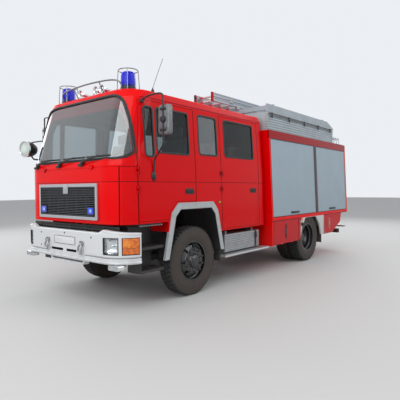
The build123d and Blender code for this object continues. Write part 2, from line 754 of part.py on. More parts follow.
def lower_body():
    """Front and rear lockers under the floor and the panel round the wheel arch."""
    inside = body_half - body_wall
    front = block((locker_inner_x, body_half), (body_front, 4600), (locker_bottom, body_bottom + 1))
    front -= block((locker_inner_x + 20, inside + 100), (3560, 4525), (locker_bottom + 20, body_bottom + 2))
    front -= block((body_half - 33, body_half + 10), (3535, 4550), (locker_bottom - 1, body_bottom + 2))
    rear_outline = [(5830, body_bottom + 1), (5830, 505), (6400, 505), (6880, 720), (6960, body_bottom + 1)]
    room = [(5862, body_bottom + 2), (5862, 530), (6388, 530), (6850, 738), (6925, body_bottom + 2)]
    rear = side_prism(rear_outline, (locker_inner_x, body_half)) - side_prism(room, (locker_inner_x + 20, body_half + 10))
    rear -= side_prism([(a + (-40 if a < 6000 else 60), b - 40) for a, b in room[1:4]] + [(6990, body_bottom + 2), (5822, body_bottom + 2)],
                       (body_half - 33, body_half + 10))
    arch = block((body_half - 30, body_half), (4600, 5840), (520, body_bottom + 1))
    opening = [(4630, 500), (4720, 760), (4880, body_bottom - 5), (5420, body_bottom - 5), (5600, 760), (5700, 500)]
    arch -= side_prism(opening, (body_half - 60, body_half + 20))
    lower = front + rear + arch
    for station, height, under in locker_hinges:
        for spot in (station - locker_hinge_reach, station + locker_hinge_reach):
            fixed, _ = hinge((body_half, spot, height), (0, 1, 0), hinge_length, locker_barrel)
            leaves, _ = spans(spot, hinge_length)
            for span in leaves:
                fixed += block((body_half - 60, body_half), span, (height - locker_barrel, height - under))
            lower += fixed
    return lower


# Pivot lines of the locker flaps: middle station, height, clearance of the leaf under the flap
locker_hinges = [(4042.5, 507, 2), (6126.5, 535, 3)]
locker_hinge_reach = 200


def shutters():
    """Closed roller shutters in their side and rear openings, with a bottom bar."""
    pieces = []
    depth = 22
    for y in shutters_at:
        z = (shutter_bottom + fit_gap, shutter_top - fit_gap)
        face = [(body_side(z[0]) - 8 - depth, z[0]), (body_side(z[0]) - 8, z[0]),
                (body_side(z[1]) - 8, z[1]), (body_side(z[1]) - 8 - depth, z[1])]
        pieces.append(both(front_prism(face, (y[0] + fit_gap, y[1] - fit_gap))))
    pieces.append(block((-800 + fit_gap, 800 - fit_gap), (body_rear - 30, body_rear - 8),
                        (shutter_bottom + fit_gap, shutter_top - fit_gap)))
    return pieces


def locker_flaps():
    """Fold-down step flaps: the front one square, the rear one cut to the departure angle."""
    x = (body_half - 28, body_half)
    front = side_prism(rectangle((3540, 4545), (507, body_bottom - 3)), x)
    front -= block((x[0] - 1, x[1] + 1), (3985, 4030), (610, 860))
    rear = side_prism([(5867, body_bottom - 3), (5867, 535), (6386, 535), (6846, 741), (6905, body_bottom - 3)], x)
    flaps = []
    for flap, (station, height, _) in zip((front, rear), locker_hinges):
        for spot in (station - locker_hinge_reach, station + locker_hinge_reach):
            _, turning = hinge((body_half, spot, height), (0, 1, 0), hinge_length, locker_barrel)
            pocket = Pos(body_half, spot, height) * Rot(X=90) * Cylinder(locker_barrel + 3, hinge_length + 6)
            flap = flap - pocket
            _, leaf = spans(spot, hinge_length)
            flap += turning + (block((body_half - 14, body_half + 2), leaf, (height + 1, height + 20))
                               - Pos(body_half, spot, height) * Rot(X=90) * Cylinder(hinge_pin + 1, hinge_length))
        flaps.append(flap)
    return flaps


# Roof equipment
def roof_gallery():
    """Ribbed roof walls with a rail, stepped up in the upper course and sloped at the rear."""
    lower = rectangle((body_front, gallery_rear), (body_top, gallery_rail))
    wall = side_prism(lower, (gallery_half - gallery_wall, gallery_half))
    for i in range(7):
        z = body_top + 20 + i * 45
        wall += block((gallery_half - 1, gallery_half + 7), (body_front, gallery_rear), (z, z + 22))
    upper = [(body_front, gallery_rail), (gallery_rear + 100, gallery_rail), (6260, gallery_top),
             (body_front, gallery_top)]
    wall += side_prism(upper, (gallery_half - gallery_wall - 20, gallery_half - 12))
    front = block((-gallery_half, gallery_half), (body_front, body_front + 20), (body_top, gallery_rail))
    floor = block((-gallery_half, gallery_half), (body_front, body_rear - 60), (body_top, body_top + 12))
    for station in (3700, 6000):
        front += block((-gallery_half + 20, gallery_half - 20), (station, station + 50), (gallery_top - 60, gallery_top + 20))
    return both(wall) + front + floor


def ladder():
    """Extending ladder lying on the roof and reaching forward over the cab."""
    y = (2320, 6900)
    low, high = gallery_top + 20, gallery_top + 180
    rails = both(block((330, 362), y, (low, high)) + block((280, 306), (1950, y[1]), (low + 10, high - 50)))
    pieces = rails
    count = 15
    for i in range(count):
        station = 2000 + i * 330
        pieces += tube((-345, station, low + 60), (345, station, low + 60), 17)
    return pieces


roof_z = cab_sections[-1][0]
beacon_x = 740
beacon_station = 640


def roof_fittings():
    """Roof rail with the air horns, and the feet of the beacons."""
    rail = tube((-700, 520, roof_z + 80), (700, 520, roof_z + 80), 14)
    for x in (-560, 0, 560):
        rail += tube((x, 520, roof_z), (x, 520, roof_z + 80), 10)
    feet = [Pos(x, beacon_station, roof_z + 22) * Cylinder(92, 44) for x in (-beacon_x, beacon_x)]
    return [rail] + feet


def beacons():
    return [Pos(x, beacon_station, roof_z + 44 + 90) * Cylinder(78, 180) for x in (-beacon_x, beacon_x)]


def bent_tube(points, radius, bend):
    """Round tube along straight runs that are joined by bends."""
    line = FilletPolyline(*points, radius=bend)
    return sweep(Plane(origin=line @ 0, z_dir=line % 0) * Circle(radius), path=line)


def mirror_set():
    """Mirror head on its tubular arm from the foot on the door."""
    foot = tube((1090, 640, 1770), (1150, 640, 1770), 30) - cab_outer()
    arm = bent_tube([(1135, 640, 1770), (1240, 560, 1880), (1262, 500, 2600), (1400, 470, 2600),
                     (1400, 470, 2450)], 13, 45)
    head = Pos(1400, 470, 2320) * Box(210, 60, 400)
    return foot + arm + head


def make_parts():
    os.makedirs("parts", exist_ok=True)
    y = front_axle_station
    save("front_wheel_left", front_wheel())
    save("front_wheel_right", right_of(front_wheel()))
    save("front_tyre_left", tyre(front_wheel_x)(y))
    save("front_tyre_right", right_of(tyre(front_wheel_x)(y)))
    twins = [tyre(x)(rear_axle_station) for x in (rear_outer_wheel_x, rear_inner_wheel_x)]
    save("rear_wheels_left", rear_wheel())
    save("rear_wheels_right", right_of(rear_wheel()))
    save("rear_tyres_left", *twins)
    save("rear_tyres_right", *[right_of(t) for t in twins])
    save("knuckle_left", knuckle())
    save("knuckle_right", right_of(knuckle()))
    save("tie_rod", tie_rod())
    front_springs, rear_springs = leaf_springs()
    save("axles", front_axle() + front_springs, rear_axle() + rear_springs)
    save("chassis_frame", chassis_frame())
    save("engine", engine())

    shell, front_panel, front_door, crew_door, glass, front_glass, crew_glass = cab_parts()
    save("cab_shell", shell)
    save("front_flap", front_panel)
    save("front_door_left", front_door)
    save("front_door_right", right_of(front_door))
    save("crew_door_left", crew_door)
    save("crew_door_right", right_of(crew_door))
    save("cab_glass", *glass)
    save("front_door_glass_left", front_glass)
    save("front_door_glass_right", right_of(front_glass))
    save("crew_door_glass_left", crew_glass)
    save("crew_door_glass_right", right_of(crew_glass))
    save("grille", grille())
    save("arch_trims", arch_trims())
    save("seats", *seats())
    save("dashboard", dashboard())
    save("steering_wheel", steering_wheel())
    save("bumper", bumper())
    save("lamps", *lamps(), *beacons())
    save("mudguards_and_steps", *mudguards(), entry_steps())
    save("side_boxes", side_boxes())
    save("body_shell", body_shell())
    save("shutters", *shutters())
    front_flap, rear_flap = locker_flaps()
    save("front_locker_flap_left", front_flap)
    save("front_locker_flap_right", right_of(front_flap))
    save("rear_locker_flap_left", rear_flap)
    save("rear_locker_flap_right", right_of(rear_flap))
    save("roof_gallery", roof_gallery())
    save("ladder", ladder())
    save("cab_fittings", *roof_fittings(), *wipers())
    save("mirror_left", mirror_set())
    save("mirror_right", right_of(mirror_set()))


make_parts()
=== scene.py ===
import functools
import json
import math

import bmesh
import bpy
from mathutils import Matrix, Vector

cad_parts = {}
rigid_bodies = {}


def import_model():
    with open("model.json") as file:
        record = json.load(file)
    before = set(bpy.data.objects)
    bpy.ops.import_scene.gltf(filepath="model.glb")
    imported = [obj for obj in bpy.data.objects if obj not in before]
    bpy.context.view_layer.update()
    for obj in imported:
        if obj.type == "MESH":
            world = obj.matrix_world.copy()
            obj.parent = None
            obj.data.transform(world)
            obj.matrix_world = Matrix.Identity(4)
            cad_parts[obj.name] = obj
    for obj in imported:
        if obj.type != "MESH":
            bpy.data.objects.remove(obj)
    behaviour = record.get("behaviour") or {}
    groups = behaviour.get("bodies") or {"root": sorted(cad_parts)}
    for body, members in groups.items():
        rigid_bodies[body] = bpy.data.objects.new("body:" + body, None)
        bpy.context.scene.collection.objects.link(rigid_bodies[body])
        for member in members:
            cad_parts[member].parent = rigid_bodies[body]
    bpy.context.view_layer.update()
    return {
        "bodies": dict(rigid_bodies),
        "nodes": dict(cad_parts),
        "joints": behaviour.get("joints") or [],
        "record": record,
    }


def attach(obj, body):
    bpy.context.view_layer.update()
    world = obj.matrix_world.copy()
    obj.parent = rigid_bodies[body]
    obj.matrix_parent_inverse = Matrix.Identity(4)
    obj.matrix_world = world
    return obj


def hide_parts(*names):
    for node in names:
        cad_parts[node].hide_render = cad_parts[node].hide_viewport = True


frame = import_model()
nodes = frame["nodes"]

# The viewpoint: someone standing ahead of the engine, off its left front corner,
# with the lens about at the height of the bumper's top.
camera_data = bpy.data.cameras.new("viewpoint")
camera_data.sensor_width = 36
camera_data.lens = 36.52
camera = bpy.data.objects.new("viewpoint", camera_data)
turn = Matrix.Rotation(math.radians(39.42), 4, "Z")
tilt = Matrix.Rotation(math.radians(90 - 1.562), 4, "X")
roll = Matrix.Rotation(math.radians(-0.482), 4, "Z")
camera.matrix_world = Matrix.Translation((4.938, -6.764, 1.563)) @ turn @ tilt @ roll
bpy.context.collection.objects.link(camera)
bpy.context.scene.camera = camera
bpy.context.scene.view_settings.view_transform = "Standard"

# The studio: a pale floor that fades into a pale surround, a large soft lamp ahead of the front,
# weaker ones on the left and behind, and an even sky. The first finish is the floor's, so the way
# that every finish is made stands here.


class Number:
    """A node's output that takes part in sums, so shader maths reads as plain expressions."""

    def __init__(self, material, socket):
        self.material, self.socket = material, socket

    def combine(self, operation, *others):
        return self.material.node("ShaderNodeMath", {"operation": operation}, self, *others)

    def __rsub__(self, other):
        return self.material.node("ShaderNodeMath", {"operation": "SUBTRACT"}, other, self)

    __add__ = __radd__ = functools.partialmethod(combine, "ADD")
    __sub__ = functools.partialmethod(combine, "SUBTRACT")
    __mul__ = __rmul__ = functools.partialmethod(combine, "MULTIPLY")
    __truediv__ = functools.partialmethod(combine, "DIVIDE")
    __mod__ = functools.partialmethod(combine, "FLOORED_MODULO")
    __gt__ = functools.partialmethod(combine, "GREATER_THAN")
    __lt__ = functools.partialmethod(combine, "LESS_THAN")
    __abs__ = functools.partialmethod(combine, "ABSOLUTE")
    __floor__ = functools.partialmethod(combine, "FLOOR")
    over = functools.partialmethod(combine, "MAXIMUM")
    root = functools.partialmethod(combine, "SQRT")


class Material:
    """One finish: its slot, its shader, the node-making method, and the ways that finishes here vary."""

    def __init__(self, name, colour, roughness=0.5, slot=None, **fixed):
        self.slot = slot or name
        self.data = bpy.data.materials.new(name)
        self.data.use_nodes = True
        self.nodes, self.links = self.data.node_tree.nodes, self.data.node_tree.links
        self.shader = self.nodes["Principled BSDF"]
        self.shader.inputs["Base Color"].default_value = (*colour, 1)
        self.shader.inputs["Roughness"].default_value = roughness
        for socket, value in fixed.items():
            self.shader.inputs[socket.replace("_", " ")].default_value = value
        self.place = self.node("ShaderNodeTexCoord", {}, output="Object")

    def node(self, kind, settings, *values, output=0, **named):
        made = self.nodes.new(kind)
        for name, value in settings.items():
            setattr(made, name, value)
        for key, value in (*enumerate(values), *((k.replace("_", " "), v) for k, v in named.items())):
            if isinstance(value, Number):
                self.links.new(value.socket, made.inputs[key])
            else:
                made.inputs[key].default_value = value
        return Number(self, made.outputs[output])

    def axes(self):
        return [self.node("ShaderNodeSeparateXYZ", {}, self.place, output=name) for name in "XYZ"]

    def noise(self, scale, detail=3.0, stretch=(1, 1, 1)):
        where = self.node("ShaderNodeMapping", {}, Vector=self.place, Scale=stretch)
        return self.node("ShaderNodeTexNoise", {}, Vector=where, Scale=scale, Detail=detail)

    def step(self, value, low, high):
        return self.node("ShaderNodeMapRange", {"interpolation_type": "SMOOTHSTEP"}, value, low, high)

    def patches(self, low, high, *noise):
        return self.step(self.noise(*noise), low, high)

    def between(self, value, low, high):
        return (value > low) * (value < high)

    def line(self, value, centre, half):
        """One on a line across a surface and nothing beside it, with soft edges."""
        return 1 - self.step(abs(value - centre), half * 0.5, half)

    def ribs(self, value, pitch):
        """Nothing in the middle of each rib and one in the groove between two of them."""
        return abs(value / pitch % 1.0 - 0.5) * 2

    def distance(self, *offsets):
        return sum(offset * offset for offset in offsets).root()

    def mix(self, factor, first, second):
        mixer = self.nodes.new("ShaderNodeMix")
        mixer.data_type = "RGBA"
        for key, value in ((0, factor), (6, first), (7, second)):
            if isinstance(value, Number):
                self.links.new(value.socket, mixer.inputs[key])
            elif key == 0:
                mixer.inputs[key].default_value = value
            else:
                mixer.inputs[key].default_value = (*value, 1)
        return Number(self, mixer.outputs[2])

    def paint(self, first, *layers):
        """Colours laid over each other, each with the mask that it shows in."""
        colour = first
        for mask, layer in layers:
            colour = self.mix(mask, colour, layer)
        self.drive("Base Color", colour)

    def drive(self, socket, value):
        self.links.new(value.socket, self.shader.inputs[socket])

    def bump(self, height, distance=0.001, strength=1.0):
        self.drive("Normal", self.node("ShaderNodeBump", {}, Height=height, Distance=distance,
                                       Strength=strength))

    def grain(self, distance, *noise):
        self.bump(self.noise(*noise), distance)

    def tread_plate(self, across, along, pitch):
        """Raised lozenges of chequer plate, every second one turned by a right angle."""
        p, q = across / pitch, along / pitch
        odd = (math.floor(p) + math.floor(q)) % 2.0
        a, b = p % 1.0 - 0.5, q % 1.0 - 0.5
        rise, fall = a + b, a - b
        longer, shorter = rise * odd + fall * (1 - odd), fall * odd + rise * (1 - odd)
        return 1 - self.step((longer * longer + shorter * shorter * 9).root(), 0.36, 0.5)

    def cover(self, *names):
        for name in names:
            nodes[name].data.materials.clear()
            nodes[name].data.materials.append(self.data)


floor_mesh = bmesh.new()
bmesh.ops.create_grid(floor_mesh, x_segments=1, y_segments=1, size=60)
floor_data = bpy.data.meshes.new("floor")
floor_mesh.to_mesh(floor_data)
floor = bpy.data.objects.new("floor", floor_data)
bpy.context.collection.objects.link(floor)
pale_floor = Material("pale_floor", (0.62, 0.62, 0.61), 0.75)
floor.data.materials.append(pale_floor.data)

world = bpy.data.worlds.new("surround")
bpy.context.scene.world = world
world.use_nodes = True
sky = world.node_tree.nodes["Background"]
paths = world.node_tree.nodes.new("ShaderNodeLightPath")
seen = paths.outputs["Is Camera Ray"]
for ray in ("Is Glossy Ray", "Is Transmission Ray"):
    either = world.node_tree.nodes.new("ShaderNodeMath")
    either.operation = "MAXIMUM"
    world.node_tree.links.new(seen, either.inputs[0])
    world.node_tree.links.new(paths.outputs[ray], either.inputs[1])
    seen = either.outputs[0]
strength = world.node_tree.nodes.new("ShaderNodeMapRange")
world.node_tree.links.new(seen, strength.inputs["Value"])
strength.inputs["To Min"].default_value = 0.5
strength.inputs["To Max"].default_value = 0.9
world.node_tree.links.new(strength.outputs[0], sky.inputs["Strength"])
sky.inputs["Color"].default_value = (0.93, 0.96, 1.0, 1)
for name, place, aim, size, power in (
    ("front_lamp", (3.0, -12.0, 8.5), (0, -1.5, 1.4), 11.0, 1000),
    ("left_lamp", (10, 2, 8), (0, 0.5, 1.2), 7.0, 330),
    ("right_lamp", (-10, -2, 6), (0, 0, 1.4), 7.0, 260),
    ("rear_lamp", (-2, 11, 8), (0, 0, 1.4), 6.0, 420),
):
    lamp_data = bpy.data.lights.new(name, "AREA")
    lamp_data.size, lamp_data.energy = size, power
    lamp = bpy.data.objects.new(name, lamp_data)
    lamp.location = place
    lamp.rotation_euler = (Vector(aim) - Vector(place)).to_track_quat("-Z", "Y").to_euler()
    bpy.context.collection.objects.link(lamp)

# Chassis, axles and springs: rolled and forged steel under satin black paint, dusty towards
# the road and worn bare where something sticks out at the two ends.
sides = (("left", 1), ("right", -1))
chassis_black = Material("chassis_black", (0.018, 0.018, 0.02), 0.45)
x, y, z = chassis_black.axes()
dust = (1 - chassis_black.step(z, 0.2, 0.85)) * chassis_black.noise(9) * 0.9
ends = (y < -3.67) + (y > 3.655) * (z < 0.61)
worn = ends * chassis_black.patches(0.35, 0.6, 24)
chassis_black.paint((0.018, 0.018, 0.02), (dust, (0.11, 0.095, 0.08)), (ends * 0.5, (0.20, 0.20, 0.20)),
                    (worn * 0.6, (0.42, 0.42, 0.42)))
chassis_black.drive("Metallic", worn * 0.8)
chassis_black.bump(chassis_black.noise(220, 2) + chassis_black.tread_plate(x, y, 0.045) * (y > 3.655) * 4,
                   0.0005)
chassis_black.cover("chassis_frame", "axles", "tie_rod", *["knuckle_" + side for side, _ in sides])

# Engine and gearbox: one closed mass of cast iron and cast alloy, painted grey and bolted into the
# frame between the rails, with a film of oil and dust.
engine_iron = Material("engine_iron", (0.09, 0.10, 0.11), 0.6)
oily = engine_iron.patches(0.4, 0.7, 5)
engine_iron.paint((0.09, 0.10, 0.11), (oily, (0.04, 0.037, 0.033)))
engine_iron.drive("Roughness", 0.75 - oily * 0.35)
engine_iron.grain(0.0006, 160, 3)
engine_iron.cover("engine")

# Wheels: pressed steel discs welded into rolled rims, under gloss black paint, with road dust in
# the dish.
wheel_black = Material("wheel_black", (0.012, 0.012, 0.015), 0.3, Coat_Weight=0.5, Coat_Roughness=0.15)
grit = wheel_black.patches(0.45, 0.8, 30)
wheel_black.paint((0.012, 0.012, 0.015), (grit * 0.45, (0.09, 0.08, 0.07)))
wheel_black.drive("Roughness", grit * 0.4 + 0.28)
wheel_black.grain(0.0002, 180, 2)
wheel_black.cover(*["front_wheel_" + side for side, _ in sides], *["rear_wheels_" + side for side, _ in sides])

# Wheel nuts: ten pressed and turned steel nuts on each wheel's stud circle, and a ring of smaller
# bolts round the hub's cover. The zinc is dulled by salt.
nose = 3.675
front_axle, rear_axle, axle_height = 1.450 - nose, 5.150 - nose, 0.507
stud_circle, nut_count, bolt_count = 0.1675, 10, 12
nut_steel = Material("nut_steel", (0.40, 0.40, 0.41), 0.38, "bright_metal", Metallic=0.9)
rust = nut_steel.patches(0.5, 0.75, 60)
x, y, z = nut_steel.axes()
on_wheel = (z < 0.9) * (abs(x) > 0.85) * (y < 2.0)
nut_steel.paint((0.40, 0.40, 0.41), (on_wheel, (0.11, 0.11, 0.12)), (rust * 0.6, (0.16, 0.11, 0.08)))
nut_steel.drive("Roughness", rust * 0.4 + 0.32)
nut_steel.grain(0.0003, 400, 2)


def piece(name, shape, finish, side=1, body="chassis", instead_of=None, sharp=32):
    """Make an object of a finished bmesh, on its side, carried by a body and shown instead of a node."""
    if side < 0:
        bmesh.ops.scale(shape, vec=(-1, 1, 1), verts=shape.verts[:])
    bmesh.ops.recalc_face_normals(shape, faces=shape.faces[:])
    data = bpy.data.meshes.new(name)
    shape.to_mesh(data)
    shape.free()
    data.shade_smooth()
    data.set_sharp_from_angle(angle=math.radians(sharp))
    data.materials.append(finish.data)
    made = bpy.data.objects.new(name, data)
    bpy.context.collection.objects.link(made)
    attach(made, body)
    if instead_of:
        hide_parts(instead_of)
    return made


def blanks(count):
    return [bmesh.new() for _ in range(count)]


def everything(shape):
    return shape.verts[:] + shape.edges[:] + shape.faces[:]


def add(shape, part, place=Matrix.Identity(4)):
    """Join a part to a shape, moved to its place."""
    part.transform(place)
    data = bpy.data.meshes.new("part")
    part.to_mesh(data)
    part.free()
    shape.from_mesh(data)
    bpy.data.meshes.remove(data)


def bevel(shape, geom, offset, segments=2, affect="EDGES"):
    bmesh.ops.bevel(shape, geom=geom, offset=offset, segments=segments, profile=0.5, affect=affect, material=-1)


def round_bar(shape, start, end, radius, end_radius=None, segments=24, edge=0.0):
    """Add a turned bar between two points, its two rims eased by a small bevel."""
    start, end = Vector(start), Vector(end)
    axis = end - start
    place = Matrix.Translation((start + end) / 2) @ axis.to_track_quat("Z", "Y").to_matrix().to_4x4()
    made = bmesh.ops.create_cone(shape, cap_ends=True, segments=segments, radius1=radius,
                                 radius2=radius if end_radius is None else end_radius, depth=axis.length,
                                 matrix=place)["verts"]
    if edge:
        rims = {e for v in made for e in v.link_edges if len(e.link_faces) == 2
                and max(len(f.verts) for f in e.link_faces) > 4}
        bevel(shape, list(rims), edge)


def ring_of(shape, one, count, station):
    """Add a small shape to another, repeated round an axle."""
    bmesh.ops.spin(one, geom=everything(one), cent=(0, station, axle_height), axis=(1, 0, 0), use_duplicate=True,
                   angle=2 * math.pi * (count - 1) / count, steps=count - 1)
    add(shape, one)


for side, sign in sides:
    for body, station, face, cover_face, cover_circle in (("front_wheel_", front_axle, 1.085, 1.114, 0.100),
                                                          ("rear_wheels_", rear_axle, 0.931, 0.976, 0.104)):
        nuts, nut, bolt = blanks(3)
        centre = axle_height + stud_circle
        for near, far, radius, end_radius, segments, edge in ((0, 0.006, 0.024, 0.021, 20, 0),
                                                              (0.006, 0.026, 0.0185, None, 6, 0.003),
                                                              (0.026, 0.036, 0.011, None, 12, 0.002)):
            round_bar(nut, (face + near, station, centre), (face + far, station, centre), radius, end_radius,
                      segments, edge)
        ring_of(nuts, nut, nut_count, station)
        centre = axle_height + cover_circle
        round_bar(bolt, (cover_face - 0.012, station, centre), (cover_face + 0.012, station, centre), 0.009,
                  segments=6, edge=0.0015)
        ring_of(nuts, bolt, bolt_count, station)
        piece(body + side + "_nuts", nuts, nut_steel, sign, body + side)

# Tyres: radial truck tyres with open traction blocks across the tread, lugs that run over the
# shoulders, and moulded rings on walls that are brown with dried dust.
tread_base = 0.4945
tyre_wall = [(0.0967, 0.2845), (0.1032, 0.300), (0.1100, 0.304), (0.1140, 0.316), (0.1222, 0.348),
             (0.1262, 0.378), (0.1270, 0.398), (0.1252, 0.404), (0.1255, 0.424), (0.1215, 0.446),
             (0.1165, 0.462), (0.1150, 0.470), (0.1095, 0.481), (0.1020, 0.4885), (0.0940, 0.4925),
             (0.0600, 0.4940), (0.0500, 0.4942), (0.0060, tread_base)]
tyre_blocks = ((0.060, 0.1095, (0, 1, 2)), (0.006, 0.050, (1, 2, 3)))
tyre_pitches, tread_foot, tread_rise = 46, 0.4, axle_height / tread_base


def corners_in(geom):
    return [g for g in geom if isinstance(g, bmesh.types.BMVert)]


def tyre_mesh(places, station):
    """Tyres round one axle, made of one pitch of the tread spun round as often as it goes."""
    shape = bmesh.new()
    outline = tyre_wall + [(-a, r) for a, r in reversed(tyre_wall)]
    corners = [shape.verts.new((a, 0, r)) for a, r in outline]
    edges = [shape.edges.new(pair) for pair in zip(corners, corners[1:] + corners[:1])]
    pitch = 2 * math.pi / tyre_pitches
    bmesh.ops.spin(shape, geom=corners + edges, cent=(0, 0, 0), axis=(1, 0, 0), angle=pitch, steps=4)
    for side in (1, -1):
        for near, far, steps in tyre_blocks:
            faces = []
            for face in shape.faces:
                middle = face.calc_center_median()
                step = int(abs(math.atan2(middle.y, middle.z)) / pitch * 4)
                outer = middle.z > tread_foot and middle.yz.length > tread_foot
                if outer and near < side * middle.x < far and (step + (side < 0) * 2) % 4 in steps:
                    faces.append(face)
            raised = bmesh.ops.extrude_face_region(shape, geom=faces)["geom"]
            bmesh.ops.scale(shape, vec=(0.985, tread_rise, tread_rise), verts=corners_in(raised))
    bmesh.ops.spin(shape, geom=everything(shape), cent=(0, 0, 0), axis=(1, 0, 0), use_duplicate=True,
                   angle=pitch * (tyre_pitches - 1), steps=tyre_pitches - 1)
    bmesh.ops.remove_doubles(shape, verts=shape.verts[:], dist=0.0002)
    one = everything(shape)
    for place in places[1:]:
        copy = bmesh.ops.duplicate(shape, geom=one)["geom"]
        bmesh.ops.translate(shape, vec=(place - places[0], 0, 0), verts=corners_in(copy))
    bmesh.ops.translate(shape, vec=(places[0], station, axle_height), verts=shape.verts[:])
    return shape


for places, station, body, node in (((0.963,), front_axle, "front_wheel_", "front_tyre_"),
                                    ((1.063, 0.775), rear_axle, "rear_wheels_", "rear_tyres_")):
    tyre_rubber = Material("rubber_of_" + node + "pair", (0.02, 0.02, 0.021), 0.8, "tyre_rubber")
    x, y, z = tyre_rubber.axes()
    reach = tyre_rubber.distance(y - station, z - axle_height)
    wall = 1 - tyre_rubber.step(reach, 0.470, 0.490)
    dusty = tyre_rubber.patches(0.2, 0.7, 7) * 0.35 + 0.55
    scuff = tyre_rubber.noise(60, 4)
    rings = tyre_rubber.line(reach, 0.345, 0.003) + tyre_rubber.line(reach, 0.460, 0.004)
    tyre_rubber.paint((0.016, 0.016, 0.017), (scuff * 0.7, (0.055, 0.052, 0.050)),
                      (wall * dusty, (0.060, 0.046, 0.037)), (rings * 0.4, (0.03, 0.027, 0.025)))
    tyre_rubber.bump(scuff + rings * 2, 0.0008)
    for side, sign in sides:
        piece(node + side + "_treaded", tyre_mesh(places, station), tyre_rubber, sign, body + side,
              node + side, 28)

# Mudguards, entry steps and flaps: moulded plastic and rubber, chalky where the road throws dirt up.
# The steps and the slatted screen behind the bumper are black painted steel.
moulded_black = Material("moulded_black", (0.02, 0.02, 0.021), 0.55)
x, y, z = moulded_black.axes()
splash = (1 - moulded_black.step(z, 0.3, 0.95)) * moulded_black.noise(8)
moulded_black.paint((0.017, 0.017, 0.018), (splash * 0.8, (0.075, 0.066, 0.058)))
moulded_black.drive("Roughness", splash * 0.4 + 0.42)
moulded_black.bump(moulded_black.noise(300, 2) + moulded_black.tread_plate(x, y, 0.03) * (y < -2.9) * 3, 0.0005)
moulded_black.cover("mudguards_and_steps")

# Sheet steel of the cab, its doors, the body and the locker flaps: fire red enamel, darker in the seams
# and dusty near the road. The panels round the rear wheels are white, the post between the shutters dark,
# and inside there is grey trim in the cab and bare sheet in the body.
fire_red = Material("fire_red", (0.72, 0.0, 0.002), 0.28, Coat_Weight=0.12, Coat_Roughness=0.05,
                    Specular_IOR_Level=0.1)
x, y, z = fire_red.axes()
line, between = fire_red.line, fire_red.between
normal = fire_red.node("ShaderNodeTexCoord", {}, output="Normal")
turned_to = [fire_red.node("ShaderNodeSeparateXYZ", {}, normal, output=name) for name in "XYZ"]
cab_rear, waist, door_foot, door_top, door_edges = -0.3, 1.66, 0.93, 2.72, (-3.333, -2.213, -1.583, -0.460)
locker_top, locker_edges, arch_front, arch_rear = 0.953, (-0.141, 0.876, 2.186), 0.975, 2.151
shutter_foot, shutter_top = 1.022, 2.490
cab_part = y < cab_rear
body_part = 1 - cab_part
middle = cab_part * -1.95 + body_part * 1.73
inside = x * turned_to[0] + (y - middle) * turned_to[1] + (z - 1.9) * turned_to[2] < -0.05
# painted shade: the shell's walls in the recess behind the grille are painted near black
grille_recess_shade = between(y, -3.640, -3.050) * (abs(x) < 0.672) * between(z, 1.18, 1.64)
outer_side = (abs(x) > 1.02) * cab_part
low_side = (abs(x) > 1.20) * (z < locker_top + 0.012) * (y > -0.199)
seams = line(z, waist, 0.005) * cab_part * (z > 1.0)
for groove in (line(z, 1.848, 0.005) * (y < door_edges[0]) * (abs(x) > 0.99),
               *(line(y, edge, 0.009) * outer_side * between(z, door_foot, door_top) for edge in door_edges),
               line(abs(x), 1.000, 0.008) * (y < -3.40) * between(z, 0.90, 1.85),
               (sum(line(y, edge, 0.010) for edge in locker_edges)
                + line(z, locker_top, 0.008) * (abs(y - 1.563) > 0.600)) * low_side * 1.2,
               line(y, -0.530, 0.005) * outer_side * between(z, door_foot, 1.50)):
    seams = seams.over(groove)
gutter = line(z, 2.752, 0.011) * outer_side
body_side = (abs(x) > 1.15) * body_part
shutter_height = between(z, shutter_foot, shutter_top)
# painted shade: the shell round and within the shutter openings is painted near black
shutter_reveal_shade = shutter_height * between(y, -0.159, 3.597) * body_side
post = shutter_height * between(y, 1.766, 1.859) * body_side
# painted shade: the band of the body's sides above the shutters is painted a deep red
shaded_top_band = (z > shutter_top) * body_side
below_shutters = (z < locker_top - 0.002) * (abs(x) > 1.1)
arch_panel = between(y, arch_front, arch_rear) * below_shutters * body_part
flap_panel = (y > -0.138) * below_shutters * (1 - arch_panel)
road_film = (1 - fire_red.step(z, 0.5, 1.3)) * fire_red.noise(6)
fade = fire_red.noise(1.5, 2)
# painted shade: the cab's outer sides are mixed towards a darker red than its front
fire_red.paint((0.82, 0.0, 0.001), (fade * 0.35, (0.70, 0.0, 0.002)), (outer_side * 0.45, (0.48, 0.0, 0.003)),
               (shaded_top_band * 0.8, (0.20, 0.0, 0.003)), (flap_panel * 0.6, (0.38, 0.012, 0.02)),
               (arch_panel, (0.62, 0.63, 0.62)), (road_film * 0.22, (0.22, 0.06, 0.045)),
               (shutter_reveal_shade, (0.02, 0.018, 0.02)), (post, (0.085, 0.045, 0.05)),
               (seams * 0.85, (0.05, 0.0, 0.0)), (gutter * 0.7, (0.16, 0.0, 0.01)),
               (inside * cab_part, (0.045, 0.045, 0.048)), (grille_recess_shade, (0.006, 0.006, 0.007)),
               (inside * body_part, (0.42, 0.43, 0.44)))
fire_red.drive("Roughness", (road_film * 0.35 + fade * 0.08 + 0.2).over(inside * 0.7))
fire_red.drive("Coat Weight", (1 - inside) * 0.12)
fire_red.bump(fire_red.noise(3, 1) * 0.6 - seams * 2.5 - gutter * 2, 0.0012)
doors, flaps = ("front_door_", "crew_door_"), ("front_locker_flap_", "rear_locker_flap_")
fire_red.cover("cab_shell", "front_flap", "body_shell",
               *[name + side for name in doors + flaps for side, _ in sides])

# Window rubbers: one extruded black profile pressed over the sheet's edge round each side pane, and
# standing proud of the sheet.
window_rubber = Material("window_rubber", (0.014, 0.014, 0.015), 0.5, "black_plastic")
chalk = window_rubber.patches(0.5, 0.9, 12)
window_rubber.paint((0.012, 0.012, 0.013), (chalk * 0.5, (0.05, 0.05, 0.052)))
window_rubber.grain(0.0003, 500, 2)
window_lean = 0.0629


